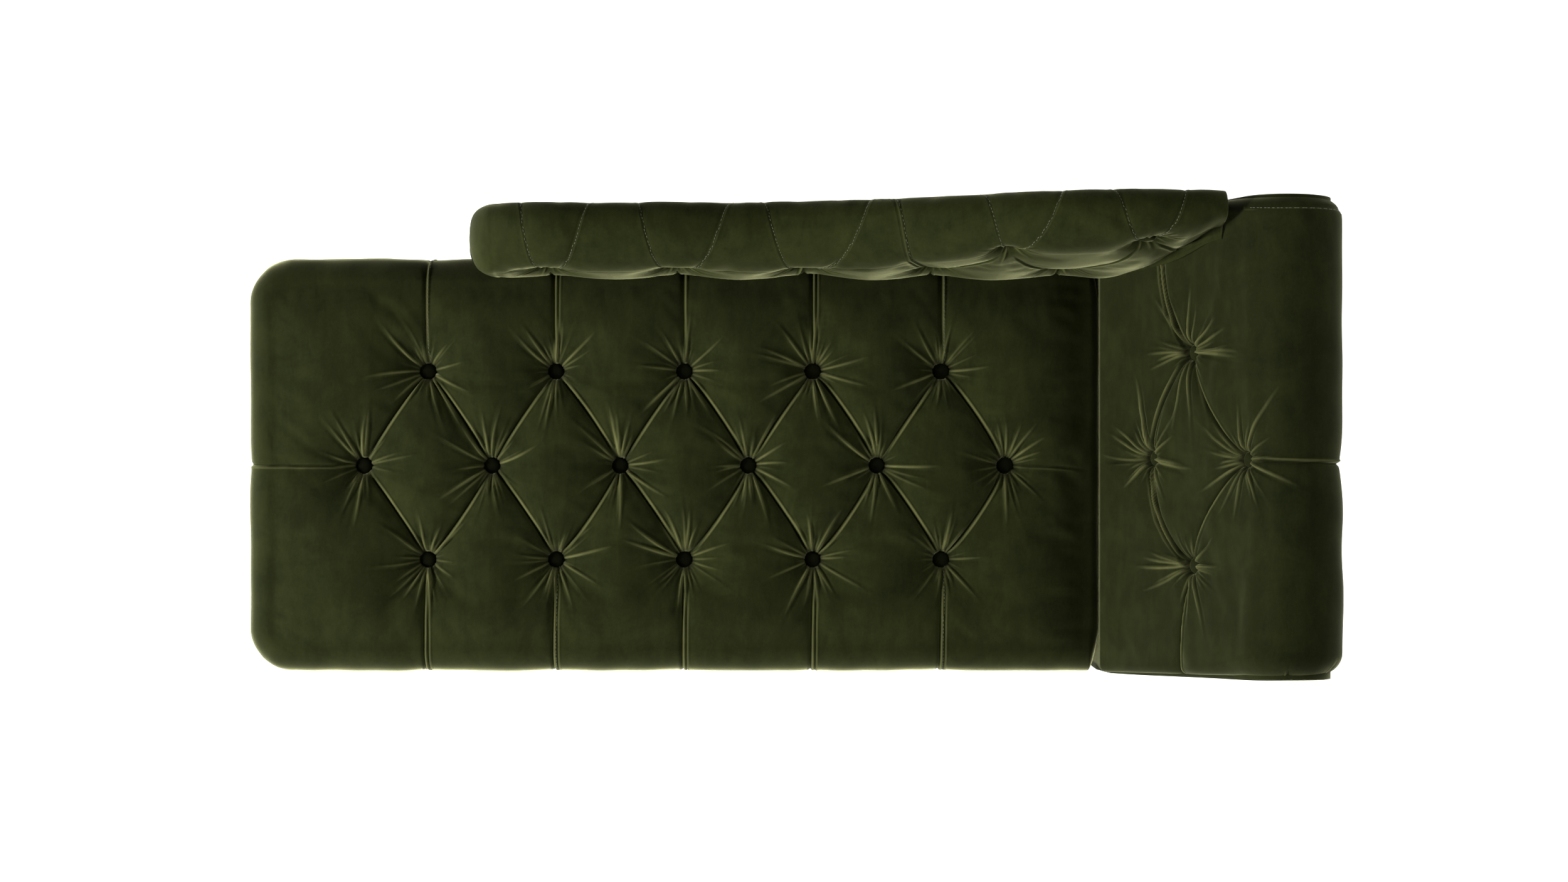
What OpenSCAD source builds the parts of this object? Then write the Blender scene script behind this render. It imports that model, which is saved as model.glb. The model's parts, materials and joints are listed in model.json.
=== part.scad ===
// Fainting couch: a deep buttoned seat, one scroll arm at the head and a swooped half back.
// X runs from the foot end to the arm, Y from the front to the back, Z up from the floor.

/* [Overall] */
// Length from the foot end to the outside of the scroll
couch_l = 1665; // [1640:5:1700]
// Depth from the front of the seat to the rear of the back
couch_d = 730; // [720:2:750]
// Height of the rails above the floor
floor_gap = 165; // [140:5:200]

/* [Seat] */
// Length of the seat from the foot end to the arm
seat_l = 1354; // [1330:2:1370]
// Depth of the seat
seat_d = 659; // [650:1:665]
// Height of the seat's crown above the rails
seat_pad_h = 133; // [120:1:150]
// Fall of the crown towards the edges
seat_crown = 8; // [4:1:14]
// Corner radius at the foot end
seat_corner_r = 70; // [60:1:80]
// Rounding of the seat's upper edge
seat_edge_r = 40; // [30:1:44]
// Foam depth below the crown
seat_wadding_t = 20; // [18:1:24]
// Number of buttons in the middle row
seat_tuft_n = 6; // [4:1:7]
// Foot end to the first button
seat_tuft_first = 183; // [170:1:200]
// Last button to the arm
seat_tuft_last = 149; // [140:1:170]
// Front edge to the front row of buttons
seat_row_front = 179; // [165:1:190]
// Rear edge to the rear row of buttons
seat_row_rear = 180; // [165:1:190]

/* [Arm] */
// Radius of the scroll
roll_r = 84.5; // [78:0.5:90]
// Height of the scroll's top above the rails
arm_h = 645; // [610:5:670]
// Height above the rails where the sloping face starts
arm_crease_h = 285; // [270:1:300]
// Setback of the arm behind the front of the seat
arm_front_set = 20; // [16:1:30]
// Setback of the arm from the rear of the back
arm_rear_set = 11; // [8:1:20]
// Outer face of the arm inside the middle of the scroll
neck_in = 45; // [40:1:50]
// Depth of cover and wadding over the arm's foam
arm_wadding_t = 16; // [14:1:18]
// Thickness of the arm's foam
arm_foam_t = 24; // [20:1:28]
// Thickness of the scroll boards
board_t = 22; // [18:1:25]
// Thickness of the covered facings
facing_t = 8; // [6:1:10]

/* [Back] */
// Foot end to the left end of the back
back_start = 362; // [340:2:380]
// Length of the back
back_l = 1127; // [1110:1:1140]
// Height of the back above the rails at its low end
back_low_h = 470; // [455:1:490]
// Height of the back above the rails at its high end
back_high_h = 635; // [610:1:660]
// Thickness of the padded back
back_t = 108; // [104:1:112]
// Left end to the first button
back_tuft_first = 125; // [115:1:140]
// Last button to the right end
back_tuft_last = 206; // [195:1:215]
// Height of the lower buttons above the rails
back_row_h = 352; // [346:1:358]
// Depth of the back's posts
post_d = 50; // [47:1:51]

/* [Buttons] */
// Radius of the covered buttons
button_r = 12.5; // [10:0.5:14]
// Height of the covered buttons
button_h = 9; // [7:0.5:11]
// Depth of the seat's tufts
seat_tuft_d = 30; // [26:1:34]
// Depth of the tufts of arm and back
side_tuft_d = 24; // [20:1:26]
// Depth of the sewn pleats
pleat_d = 6; // [3:0.5:7]

/* [Frame] */
// Thickness of the base rails
rail_t = 25; // [22:1:28]
// Height of the base rails
rail_h = 160; // [150:1:170]
// Width of the cross stretchers
stretcher_w = 45; // [38:1:50]
// Wire of the seat springs
wire_t = 3.6; // [3:0.1:4]
// Radius of the turned legs at the top
leg_r = 30; // [27:1:34]
// Side of the steel leg plates
plate_w = 64; // [60:1:68]

/* [Hidden] */
$fn = 48;

velvet = "#25290f";
wood = "#8a6a45";
stained = "#2b1a12";
steel = "#8f9296";
foam = "#e3d9b4";
felt = "#8d8a80";
cloth = "#1b1b1b";
jute = "#a98d5d";
card = "#b59a6d";

// Clearance between parts that lie on each other
gap = 0.3;
// Length that a cut runs past a face
overrun = 4;
// Fabric over wood
skin = 3;
// Thin sheets such as the dust cover
sheet_t = 1.2;
// Radius of the button twine
twine_r = 1.2;
// Radius round a pulled down tuft where the foam is drilled away
plug_r = 34;
// Wadding left under a button
plug_floor = 5;
// Depth of a button's back below the lowest point of its tuft
button_sink = 4;
// Radius at which a tuft's pull has mostly faded
tuft_spread = 28;
tuft_power_share = 1.1;
// How quickly a pleat fades across the diamond lattice
pleat_fade_share = 4.5;

x0 = -couch_l / 2;
x1 = couch_l / 2;
y0 = -couch_d / 2;
y1 = couch_d / 2;
z0 = floor_gap;
seat_x1 = x0 + seat_l;
seat_y1 = y0 + seat_d;
seat_z = z0 + seat_pad_h + rail_h;
rail_z = z0 + rail_h;

// Base outline, set in from the seat's overhang
band_set = 8;
base_x0 = x0 + band_set;
base_y0 = y0 + band_set;
base_y1 = seat_y1 - band_set;
base_x1 = seat_x1 - gap;
base_r = seat_corner_r - band_set;

module base_outline(inset) {
  r = base_r - inset;
  hull() {
    translate([base_x0 + inset + r, base_y0 + inset + r]) circle(r);
    translate([base_x0 + inset + r, base_y1 - inset - r]) circle(r);
    translate([base_x1 - r, base_y0 + inset]) square(r);
    translate([base_x1 - r, base_y1 - inset - r]) square(r);
  }
}

module base_prism(inset, h) {
  translate([0, 0, z0]) linear_extrude(h) base_outline(inset);
}

// Box from corner a to corner b
module span(a, b) {
  translate(a) cube(b - a);
}

// Seat tufts: three rows, the middle one with one button more
seat_pitch = (seat_l - seat_tuft_first - seat_tuft_last) / (seat_tuft_n - 1);
seat_row_y = [y0 + seat_row_front, (y0 + seat_row_front + seat_y1 - seat_row_rear) / 2,
  seat_y1 - seat_row_rear];
seat_row_pitch = seat_row_y[1] - seat_row_y[0];
seat_first_x = x0 + seat_tuft_first;
seat_tufts = concat(
  [for (i = [0:seat_tuft_n - 1]) [seat_first_x + i * seat_pitch, seat_row_y[1]]],
  [for (i = [0:seat_tuft_n - 2], k = [0, 2]) [seat_first_x + (i + 0.5) * seat_pitch, seat_row_y[k]]]);

function nearest(p, tufts) = min([for (t = tufts) norm([p.x - t.x, p.y - t.y])]);
function pit(r) = exp(-pow(r / tuft_spread, tuft_power_share));
function smooth(t) = let(c = min(1, max(0, t))) c * c * (3 - 2 * c);

// Share of the pleat depth at a point of the diamond lattice: u counts half pitches along the
// rows from the middle row's first button, v counts rows from the middle row
function even_gap(u) = let(m = u - 2 * floor(u / 2)) min(m, 2 - m);
function pleat_share(u, v, last) =
  let(g = u < 0 || u > last ? abs(v) : abs(v) > 1 ? 1 - even_gap(u) : abs(even_gap(u) - abs(v)))
  max(0, 1 - g * pleat_fade_share);

// Seat surface: a grid of lines through the tufts, with four more lines rolled over each edge
edge_n = 4;
seat_head_r = 20;
seat_margin_n = 3;
seat_cells_u = 8;
seat_lines_x = concat(
  [for (i = [0:seat_margin_n - 1])
    x0 + seat_corner_r + i / seat_margin_n * (seat_tuft_first - seat_corner_r)],
  [for (i = [0:seat_cells_u * (seat_tuft_n - 1)]) seat_first_x + i * seat_pitch / seat_cells_u],
  [for (i = [1:seat_margin_n])
    seat_x1 - seat_tuft_last + i / seat_margin_n * (seat_tuft_last - seat_head_r)]);
seat_lines_y = concat(
  [for (i = [0:1]) y0 + seat_corner_r + i / 2 * (seat_row_front - seat_corner_r)],
  [for (i = [0:7]) seat_row_y[0] + i * seat_row_pitch / 4],
  [for (i = [0:2]) seat_row_y[2] + i / 2 * (seat_row_rear - seat_corner_r)]);
seat_nx = len(seat_lines_x);
seat_ny = len(seat_lines_y);
seat_gx = seat_nx + 2 * edge_n;
seat_gy = seat_ny + 2 * edge_n;
// Reach and fall of the rolled edge's lines, as shares of the corner radius and the edge radius
edge_reach_shares = [0, 0.46, 0.84, 1, 0.93];
edge_fall_shares = [0, 0.04, 0.3, 1.15, 0];
seat_side_z = rail_z + gap;

function seat_top(x, y) =
  let(u = (x - seat_first_x) / seat_pitch * 2, v = (y - seat_row_y[1]) / seat_row_pitch,
    cx = (x - (x0 + seat_x1) / 2) / seat_l * 2, cy = (y - (y0 + seat_y1) / 2) / seat_d * 2)
  seat_z - seat_crown * (pow(cx, 4) + pow(cy, 4)) / 2
    - pleat_d * pleat_share(u, v, 2 * (seat_tuft_n - 1))
    - (seat_tuft_d - pleat_d) * pit(nearest([x, y], seat_tufts));

function seat_point(i, j) =
  let(ci = min(max(i - edge_n, 0), seat_nx - 1), cj = min(max(j - edge_n, 0), seat_ny - 1),
    ex = abs(i - edge_n - ci), ey = abs(j - edge_n - cj), m = max(ex, ey), a = atan2(ey, ex),
    rx = i < edge_n ? seat_corner_r : seat_head_r, reach = edge_reach_shares[m],
    x = seat_lines_x[ci], y = seat_lines_y[cj],
    px = x + sign(i - edge_n - ci) * cos(a) * rx * reach,
    py = y + sign(j - edge_n - cj) * sin(a) * seat_corner_r * reach,
    z = m == edge_n ? seat_side_z : seat_top(x, y) - seat_edge_r * edge_fall_shares[m])
  [px, py, z];

function grid_faces(nx, ny) = [for (i = [0:nx - 2], j = [0:ny - 2])
  let(a = i * ny + j, b = a + ny) each (i + j) % 2 == 0 ?
    [[a, a + 1, b + 1], [a, b + 1, b]] : [[a, a + 1, b], [a + 1, b + 1, b]]];
function border(nx, ny) = concat([for (j = [0:ny - 2]) j], [for (i = [0:nx - 2]) i * ny + ny - 1],
  [for (j = [ny - 1:-1:1]) (nx - 1) * ny + j], [for (i = [nx - 1:-1:1]) i * ny]);

module seat_form() {
  points = [for (i = [0:seat_gx - 1], j = [0:seat_gy - 1]) seat_point(i, j)];
  ring = border(seat_gx, seat_gy);
  n = len(ring);
  centre = len(points);
  polyhedron(concat(points, [[(x0 + seat_x1) / 2, (y0 + seat_y1) / 2, seat_side_z]]),
    concat(grid_faces(seat_gx, seat_gy), [for (k = [0:n - 1]) [centre, ring[(k + 1) % n], ring[k]]]));
}

// Places its children at each tuft: z along the button's axis, zero at the button's back
module at_seat_tufts() {
  for (t = seat_tufts)
    translate([t.x, t.y, seat_z - seat_tuft_d - button_sink]) children();
}

module button() {
  dome_r = (button_r * button_r + button_h * button_h) / (2 * button_h);
  intersection() {
    cylinder(h = button_h, r = button_r);
    translate([0, 0, button_h - dome_r]) sphere(dome_r);
  }
}

module button_pocket() {
  cylinder(h = seat_tuft_d + button_sink, r = button_r + gap);
}

module plug_hole() {
  translate([0, 0, -plug_floor]) cylinder(h = seat_tuft_d * 2, r = plug_r);
}

// Foam block of the seat
foam_inset = 15;
core_inset = foam_inset - band_set;
insulator_t = 4;
spring_z = rail_z + gap;
clip_wall = 1.6;
insulator_z = spring_z + wire_t + clip_wall + 2 * gap;
foam_z0 = insulator_z + insulator_t + gap;
foam_z1 = seat_z - seat_wadding_t;

module seat_foam_block() {
  translate([0, 0, foam_z0]) linear_extrude(foam_z1 - foam_z0) intersection() {
    base_outline(core_inset);
    translate([x0, y0]) square([seat_l - foam_inset, seat_d]);
  }
}

// Space under the seat cover for springs, insulator and foam
module seat_core() {
  translate([0, 0, rail_z - overrun]) linear_extrude(foam_z0 - rail_z + overrun) intersection() {
    base_outline(core_inset);
    translate([x0, y0]) square([seat_l - foam_inset, seat_d]);
  }
  seat_foam();
}

module seat_foam() {
  color(foam) difference() {
    seat_foam_block();
    at_seat_tufts() plug_hole();
    at_seat_tufts() tie_hole(seat_tie_l);
  }
}

module tie_hole(l) {
  translate([0, 0, -l - overrun]) cylinder(h = l + overrun * 2, r = twine_r + gap);
}

module seat_cover() {
  color(velvet) difference() {
    seat_form();
    seat_core();
    at_seat_tufts() button_pocket();
    at_seat_tufts() tie_hole(seat_tie_l);
  }
}

module seat_buttons() {
  color(velvet) at_seat_tufts() button();
}

// Twine from a button to a washer under the insulator
seat_tie_l = seat_z - seat_tuft_d - button_sink - insulator_z + gap;
washer_r = 8;
washer_t = 1.5;
module tie(l) {
  rotate_extrude() polygon([[0, 0], [twine_r, 0], [twine_r, -l], [washer_r, -l],
    [washer_r, -l - washer_t], [0, -l - washer_t]]);
}
module seat_button_ties() {
  color(jute) at_seat_tufts() tie(seat_tie_l);
}

module seat_insulator() {
  color(felt) difference() {
    translate([0, 0, insulator_z]) linear_extrude(insulator_t) intersection() {
      base_outline(core_inset + gap);
      translate([x0, y0]) square([seat_l - foam_inset - gap, seat_d]);
    }
    at_seat_tufts() tie_hole(seat_tie_l);
  }
}

// Base frame
rail_x0 = base_x0 + skin;
rail_y0 = base_y0 + skin;
rail_y1 = base_y1 - skin;
rail_x1 = base_x1;

module rail_piece(a, b) {
  intersection() {
    base_prism(skin + gap, rail_h);
    span(a, b);
  }
}
module front_rail() {
  color(wood) rail_piece([x0, y0, z0], [rail_x1, rail_y0 + rail_t, rail_z]);
}
module rear_rail() {
  color(wood) difference() {
    rail_piece([x0, rail_y1 - rail_t, z0], [rail_x1, seat_y1, rail_z]);
    at_back_bolts() bolt_hole(back_grip);
  }
}
module foot_rail() {
  color(wood) rail_piece([x0, rail_y0 + rail_t, z0], [rail_x0 + rail_t, rail_y1 - rail_t, rail_z]);
}
module head_rail() {
  color(wood) difference() {
    rail_piece([rail_x1 - rail_t, rail_y0 + rail_t, z0], [rail_x1, rail_y1 - rail_t, rail_z]);
    at_arm_bolts() bolt_hole(arm_grip);
  }
}

// Cross stretchers below the springs
stretcher_h = 60;
stretcher_n = 3;
stretcher_pitch = (rail_x1 - rail_x0) / (stretcher_n + 1);
module cross_stretchers() {
  color(wood) difference() {
    for (i = [1:stretcher_n])
      translate([rail_x0 + i * stretcher_pitch - stretcher_w / 2, rail_y0 + rail_t, z0])
        cube([stretcher_w, rail_y1 - rail_y0 - 2 * rail_t, stretcher_h]);
    at_legs([2]) leg_fixing_holes();
  }
}

// Legs: two at the foot corners, one under the middle stretcher and two under the arm
block_w = 80;
block_h = 60;
arm_x0 = seat_x1;
arm_y0 = y0 + arm_front_set;
arm_y1 = y1 - arm_rear_set;
roll_x = x1 - roll_r;
roll_z = z0 + arm_h - roll_r;
arm_out_x = roll_x - neck_in;
foot_leg_x = rail_x0 + rail_t + block_w / 2;
head_leg_x = (arm_x0 + arm_out_x) / 2;
board_y0 = arm_y0 + facing_t + gap;
board_y1 = arm_y1 - facing_t - gap;
leg_places = [[foot_leg_x, rail_y0 + rail_t + block_w / 2], [foot_leg_x, rail_y1 - rail_t - block_w / 2],
  [rail_x0 + 2 * stretcher_pitch, (rail_y0 + rail_y1) / 2],
  [head_leg_x, board_y0 + board_t + block_w / 2], [head_leg_x, board_y1 - board_t - block_w / 2]];

module at_legs(which) {
  for (i = which) translate([leg_places[i].x, leg_places[i].y, z0]) children();
}
module blocks(which) {
  difference() {
    at_legs(which) translate([-block_w / 2, -block_w / 2, 0]) cube([block_w, block_w, block_h]);
    at_legs(which) leg_fixing_holes();
  }
}
module corner_blocks() {
  color(wood) blocks([0, 1]);
}
module arm_leg_blocks() {
  color(wood) blocks([3, 4]);
}

plate_t = 2.5;
hanger_r = 4;
hanger_l = 80;
hanger_up = 40;
fit_gap = 0.15;
screw_r = 2;
screw_l = 20;
screw_head_r = 4;
screw_head_h = 2;
screw_place = plate_w / 2 - screw_head_r - 2 * screw_r;
glide_t = 4;
glide_r = 11;
leg_h = floor_gap - plate_t - glide_t;

module at_screws() {
  for (i = [-1, 1], j = [-1, 1]) translate([i * screw_place, j * screw_place, -plate_t]) children();
}
module leg_fixing_holes() {
  translate([0, 0, -hanger_l]) cylinder(h = 2 * hanger_l - hanger_up, r = hanger_r + fit_gap);
  at_screws() cylinder(h = screw_l + plate_t, r = screw_r + fit_gap);
}
module leg_plates() {
  color(steel) difference() {
    at_legs([0:4]) translate([-plate_w / 2, -plate_w / 2, -plate_t]) cube([plate_w, plate_w, plate_t]);
    at_legs([0:4]) leg_fixing_holes();
  }
}
module plate_screws() {
  color(steel) at_legs([0:4]) at_screws() {
    cylinder(h = screw_l, r = screw_r);
    translate([0, 0, -screw_head_h]) cylinder(h = screw_head_h, r = screw_head_r);
  }
}
module hanger_bolts() {
  color(steel) at_legs([0:4]) translate([0, 0, hanger_up - hanger_l]) cylinder(h = hanger_l, r = hanger_r);
}

// Turned leg: a collar, a bead and a vase that tapers to the foot, as shares of radius and height
leg_profile_shares = [[0, 0], [0.42, 0], [0.46, 0.04], [0.4, 0.1], [0.44, 0.3], [0.56, 0.48],
  [0.76, 0.62], [0.88, 0.7], [0.84, 0.765], [0.66, 0.8], [0.64, 0.815], [0.9, 0.83], [0.97, 0.86],
  [0.9, 0.89], [1, 0.91], [1, 1], [0, 1]];
module leg(i) {
  color(stained) at_legs([i]) translate([0, 0, -plate_t - leg_h]) difference() {
    rotate_extrude() polygon([for (p = leg_profile_shares) [p.x * leg_r, p.y * leg_h]]);
    translate([0, 0, leg_h + plate_t + hanger_up - hanger_l - gap])
      cylinder(h = hanger_l, r = hanger_r + fit_gap);
  }
}
module front_foot_leg() { leg(0); }
module rear_foot_leg() { leg(1); }
module centre_leg() { leg(2); }
module front_head_leg() { leg(3); }
module rear_head_leg() { leg(4); }
module leg_glides() {
  color(steel) at_legs([0:4]) translate([0, 0, -floor_gap]) cylinder(h = glide_t, r = glide_r);
}

// Serpentine springs from the front rail to the rear rail, one between each two rows of ties
spring_n = 2 * seat_tuft_n - 1;
spring_wave = 22;
spring_half_waves = 15;
spring_side_shares = [-0.5, 0.5];
spring_step_share = 0.2;
spring_y0 = rail_y0 + rail_t / 2;
spring_y1 = rail_y1 - rail_t / 2;
spring_end = 36;
spring_steps = 6;
spring_lines = [for (i = [0:spring_n - 1]) seat_first_x + (i + 0.5) * seat_pitch / 2];

function spring_mid(t) =
  let(w = t * spring_half_waves * 180)
  [spring_wave * sin(w) + spring_wave / 3 * sin(w * 3) / 3, spring_y0 + t * (spring_y1 - spring_y0)];
function spring_edge(k, side) =
  let(n = spring_half_waves * spring_steps, t = k / n, e = spring_step_share / n,
    d = spring_mid(t + e) - spring_mid(t - e), l = norm(d))
  spring_mid(t) + side * wire_t * [-d.y, d.x] / l;
module spring_shape() {
  n = spring_half_waves * spring_steps;
  polygon(concat([for (k = [0:n]) spring_edge(k, spring_side_shares[0])],
    [for (k = [n:-1:0]) spring_edge(k, spring_side_shares[1])]));
  for (y = [spring_y0, spring_y1])
    translate([-spring_end / 2, y - wire_t / 2]) square([spring_end, wire_t]);
}
module seat_springs() {
  color(steel) for (x = spring_lines)
    translate([x, 0, spring_z]) linear_extrude(wire_t) spring_shape();
}
// Two staples over each end of a spring
staple_w = 5;
staple_x = 12;
module spring_clips() {
  color(steel) for (x = spring_lines, y = [spring_y0, spring_y1], side = [-1, 1])
    translate([x + side * (staple_x + staple_w / 2), y, rail_z]) difference() {
      translate([-staple_w / 2, -wire_t / 2 - gap - clip_wall, 0])
        cube([staple_w, wire_t + 2 * gap + 2 * clip_wall, wire_t + 2 * gap + clip_wall]);
      translate([-staple_w, -wire_t / 2 - gap, -overrun])
        cube([2 * staple_w, wire_t + 2 * gap, wire_t + 2 * gap + overrun]);
    }
}
// Tie wires that join the springs, just under them
tie_wire_r = 1.5;
module spring_tie_wires() {
  color(cloth) for (k = [1, 2])
    translate([spring_lines[0] - spring_wave, spring_y0 + k * (spring_y1 - spring_y0) / 3,
      spring_z - tie_wire_r - gap])
      rotate([0, 90, 0]) cylinder(h = spring_lines[spring_n - 1] - spring_lines[0] + 2 * spring_wave,
        r = tie_wire_r);
}

module base_band() {
  color(velvet) difference() {
    base_prism(0, rail_h);
    translate([0, 0, -overrun]) base_prism(skin, rail_h + 2 * overrun);
    span([base_x1 - skin, rail_y0, z0 - overrun], [base_x1 + overrun, rail_y1, rail_z + overrun]);
    at_back_bolts() bolt_hole(back_grip);
  }
}

module dust_cover() {
  color(cloth) difference() {
    translate([0, 0, -sheet_t]) base_prism(band_set, sheet_t);
    at_legs([0:2]) translate([-plate_w / 2 - gap, -plate_w / 2 - gap, -sheet_t - overrun])
      cube([plate_w + 2 * gap, plate_w + 2 * gap, sheet_t + 2 * overrun]);
  }
}

// Arm section in the X Z plane: a straight face that leans out and runs on into the scroll
crease = [arm_x0, z0 + arm_crease_h];
roll_c = [roll_x, roll_z];
crease_d = norm(roll_c - crease);
lean_a = atan2(roll_c.y - crease.y, roll_c.x - crease.x) + asin(roll_r / crease_d);
slope_l = sqrt(crease_d * crease_d - roll_r * roll_r);
lean_dir = [cos(lean_a), sin(lean_a)];
lean_in = [sin(lean_a), -cos(lean_a)];
arm_foam_in = arm_wadding_t + arm_foam_t;
web_t = 2.5;
board_in = arm_foam_in + web_t;
arm_edge_x = arm_out_x - skin;
arm_side_x = arm_x0 + skin;
scroll_neck_share = 0.6;

module arm_shape(inset) {
  a = crease + inset * lean_in;
  r = roll_r - inset;
  translate(roll_c) circle(r);
  polygon([[arm_side_x, z0], [arm_edge_x, z0], [arm_edge_x, roll_z - r * scroll_neck_share], roll_c,
    a + slope_l * lean_dir, a, [arm_side_x, a.y]]);
}
// Prism along Y from front to rear of a shape drawn in X and Z
module along_y(front, rear) {
  translate([0, rear, 0]) rotate([90, 0, 0]) linear_extrude(rear - front) children();
}

// A point of the arm's outer path: s runs up the face from the crease and on round the scroll
function arm_outer(s) = s <= slope_l ? crease + s * lean_dir :
  let(a = 90 + lean_a - (s - slope_l) / roll_r * 180 / PI) roll_c + roll_r * [cos(a), sin(a)];
function arm_inward(s) = s <= slope_l ? lean_in :
  let(a = 90 + lean_a - (s - slope_l) / roll_r * 180 / PI) -[cos(a), sin(a)];

// Arm tufts: one low, two in the middle and one high, as shares of the face's length
arm_row_shares = [0.335, 0.626, 1.004];
arm_tuft_front = 161;
arm_tuft_rear = 218;
arm_tuft_y = [arm_y0 + arm_tuft_front, (arm_y0 + arm_tuft_front + arm_y1 - arm_tuft_rear) / 2,
  arm_y1 - arm_tuft_rear];
arm_tufts = [[arm_row_shares[0] * slope_l, arm_tuft_y[1]], [arm_row_shares[1] * slope_l, arm_tuft_y[0]],
  [arm_row_shares[1] * slope_l, arm_tuft_y[2]], [arm_row_shares[2] * slope_l, arm_tuft_y[1]]];
arm_span = arm_tuft_y[2] - arm_tuft_y[1];

neck_a = -180 + acos((neck_in + skin) / roll_r);
arc_l = (90 + lean_a - neck_a) / 180 * PI * roll_r;
path_high = arm_row_shares[2] * slope_l;
path_end = slope_l + arc_l;
arm_path = concat([for (i = [0:4]) i / 4 * arm_row_shares[0] * slope_l],
  [for (i = [1:4]) (arm_row_shares[0] + i / 4 * (arm_row_shares[1] - arm_row_shares[0])) * slope_l],
  [for (i = [1:4]) (arm_row_shares[1] + i / 4 * (arm_row_shares[2] - arm_row_shares[1])) * slope_l],
  [for (i = [1:13]) path_high + i / 13 * (path_end - path_high)]);

arm_round = 12;
arm_cover_y0 = arm_y0 + facing_t / 2;
arm_cover_y1 = arm_y1 - facing_t / 2;
arm_edge_shares = [1, 0.3, 0];
arm_run_shares = [0, 0.3, 1];
arm_lines_y = concat([for (k = [0:2]) arm_cover_y0 + arm_round * arm_run_shares[k]],
  [for (i = [1:3]) arm_cover_y0 + arm_round + i / 4 * (arm_tuft_y[0] - arm_cover_y0 - arm_round)],
  [for (i = [0:15]) arm_tuft_y[0] + i * arm_span / 8],
  [for (i = [0:4]) arm_tuft_y[2] + i / 5 * (arm_cover_y1 - arm_round - arm_tuft_y[2])],
  [for (k = [2:-1:0]) arm_cover_y1 - arm_round * arm_run_shares[k]]);
arm_lines_n = len(arm_lines_y);
arm_path_n = len(arm_path);

function arm_dent(s, y) =
  let(u = (s / slope_l - arm_row_shares[1]) / (arm_row_shares[1] - arm_row_shares[0]),
    v = (y - arm_tuft_y[1]) / arm_span, g = abs(abs(u) - (1 - abs(v))),
    seam = abs(v) > 1 ? abs(u) : abs(u) > 1 ? abs(v) : g)
  pleat_d * max(0, 1 - seam * pleat_fade_share) * smooth(s / slope_l * 3)
    + (side_tuft_d - pleat_d) * pit(nearest([s, y], arm_tufts));
function arm_ring(j) =
  let(y = arm_lines_y[j], e = arm_round * (j < 3 ? arm_edge_shares[j] :
    j > arm_lines_n - 4 ? arm_edge_shares[arm_lines_n - 1 - j] : 0))
  concat([for (s = arm_path) let(p = arm_outer(s) + (arm_dent(s, y) + e) * arm_inward(s)) [p.x, y, p.y]],
    [[arm_edge_x, y, crease.y - skin], [arm_x0 + e, y, crease.y - 2 * skin]]);

// Solid through closed rings of n points, each end fanned to its own middle point
module loft(rings, n, mid_a, mid_b) {
  m = len(rings);
  points = concat([for (r = rings) each r], [mid_a, mid_b]);
  polyhedron(points, concat(
    [for (i = [0:m - 2], j = [0:n - 1]) let(a = i * n + j, b = i * n + (j + 1) % n)
      each (i + j) % 2 == 0 ? [[a, b, b + n], [a, b + n, a + n]] : [[a, b, a + n], [b, b + n, a + n]]],
    [for (j = [0:n - 1]) [m * n, (j + 1) % n, j]],
    [for (j = [0:n - 1]) [m * n + 1, (m - 1) * n + j, (m - 1) * n + (j + 1) % n]]));
}

arm_mid = [arm_edge_x - neck_in / 4, roll_z - neck_in / 2];
module arm_form() {
  loft([for (j = [0:arm_lines_n - 1]) arm_ring(j)], arm_path_n + 2,
    [arm_mid.x, arm_cover_y0, arm_mid.y], [arm_mid.x, arm_cover_y1, arm_mid.y]);
}

module at_arm_tufts() {
  for (t = arm_tufts) {
    n = arm_inward(t.x);
    p = arm_outer(t.x) + (side_tuft_d + button_sink) * n;
    translate([p.x, t.y, p.y]) rotate([0, atan2(-n.x, -n.y), 0]) children();
  }
}
arm_tie_l = arm_foam_in + web_t + gap - side_tuft_d - button_sink;

module arm_foam() {
  color(foam) difference() {
    arm_core();
    along_y(arm_y0, arm_y1) arm_shape(arm_foam_in);
    span([arm_x0, arm_y0, z0 - overrun], [x1, arm_y1, crease.y - arm_foam_in / 2]);
  }
}
// Space inside the arm's cover, less the plugs of cover that the tufts pull in
module arm_core() {
  difference() {
    along_y(board_y0, board_y1) arm_shape(arm_wadding_t);
    at_arm_tufts() plug_hole();
    at_arm_tufts() tie_hole(arm_tie_l);
  }
}
module arm_cover() {
  color(velvet) difference() {
    arm_form();
    arm_core();
    along_y(arm_y0 - overrun, board_y0 + gap) arm_shape(arm_wadding_t);
    along_y(board_y1 - gap, arm_y1 + overrun) arm_shape(arm_wadding_t);
    at_arm_tufts() button_pocket();
    at_arm_tufts() tie_hole(arm_tie_l);
  }
}
module arm_buttons() {
  color(velvet) at_arm_tufts() button();
}
module arm_button_ties() {
  color(jute) at_arm_tufts() tie(arm_tie_l);
}

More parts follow.
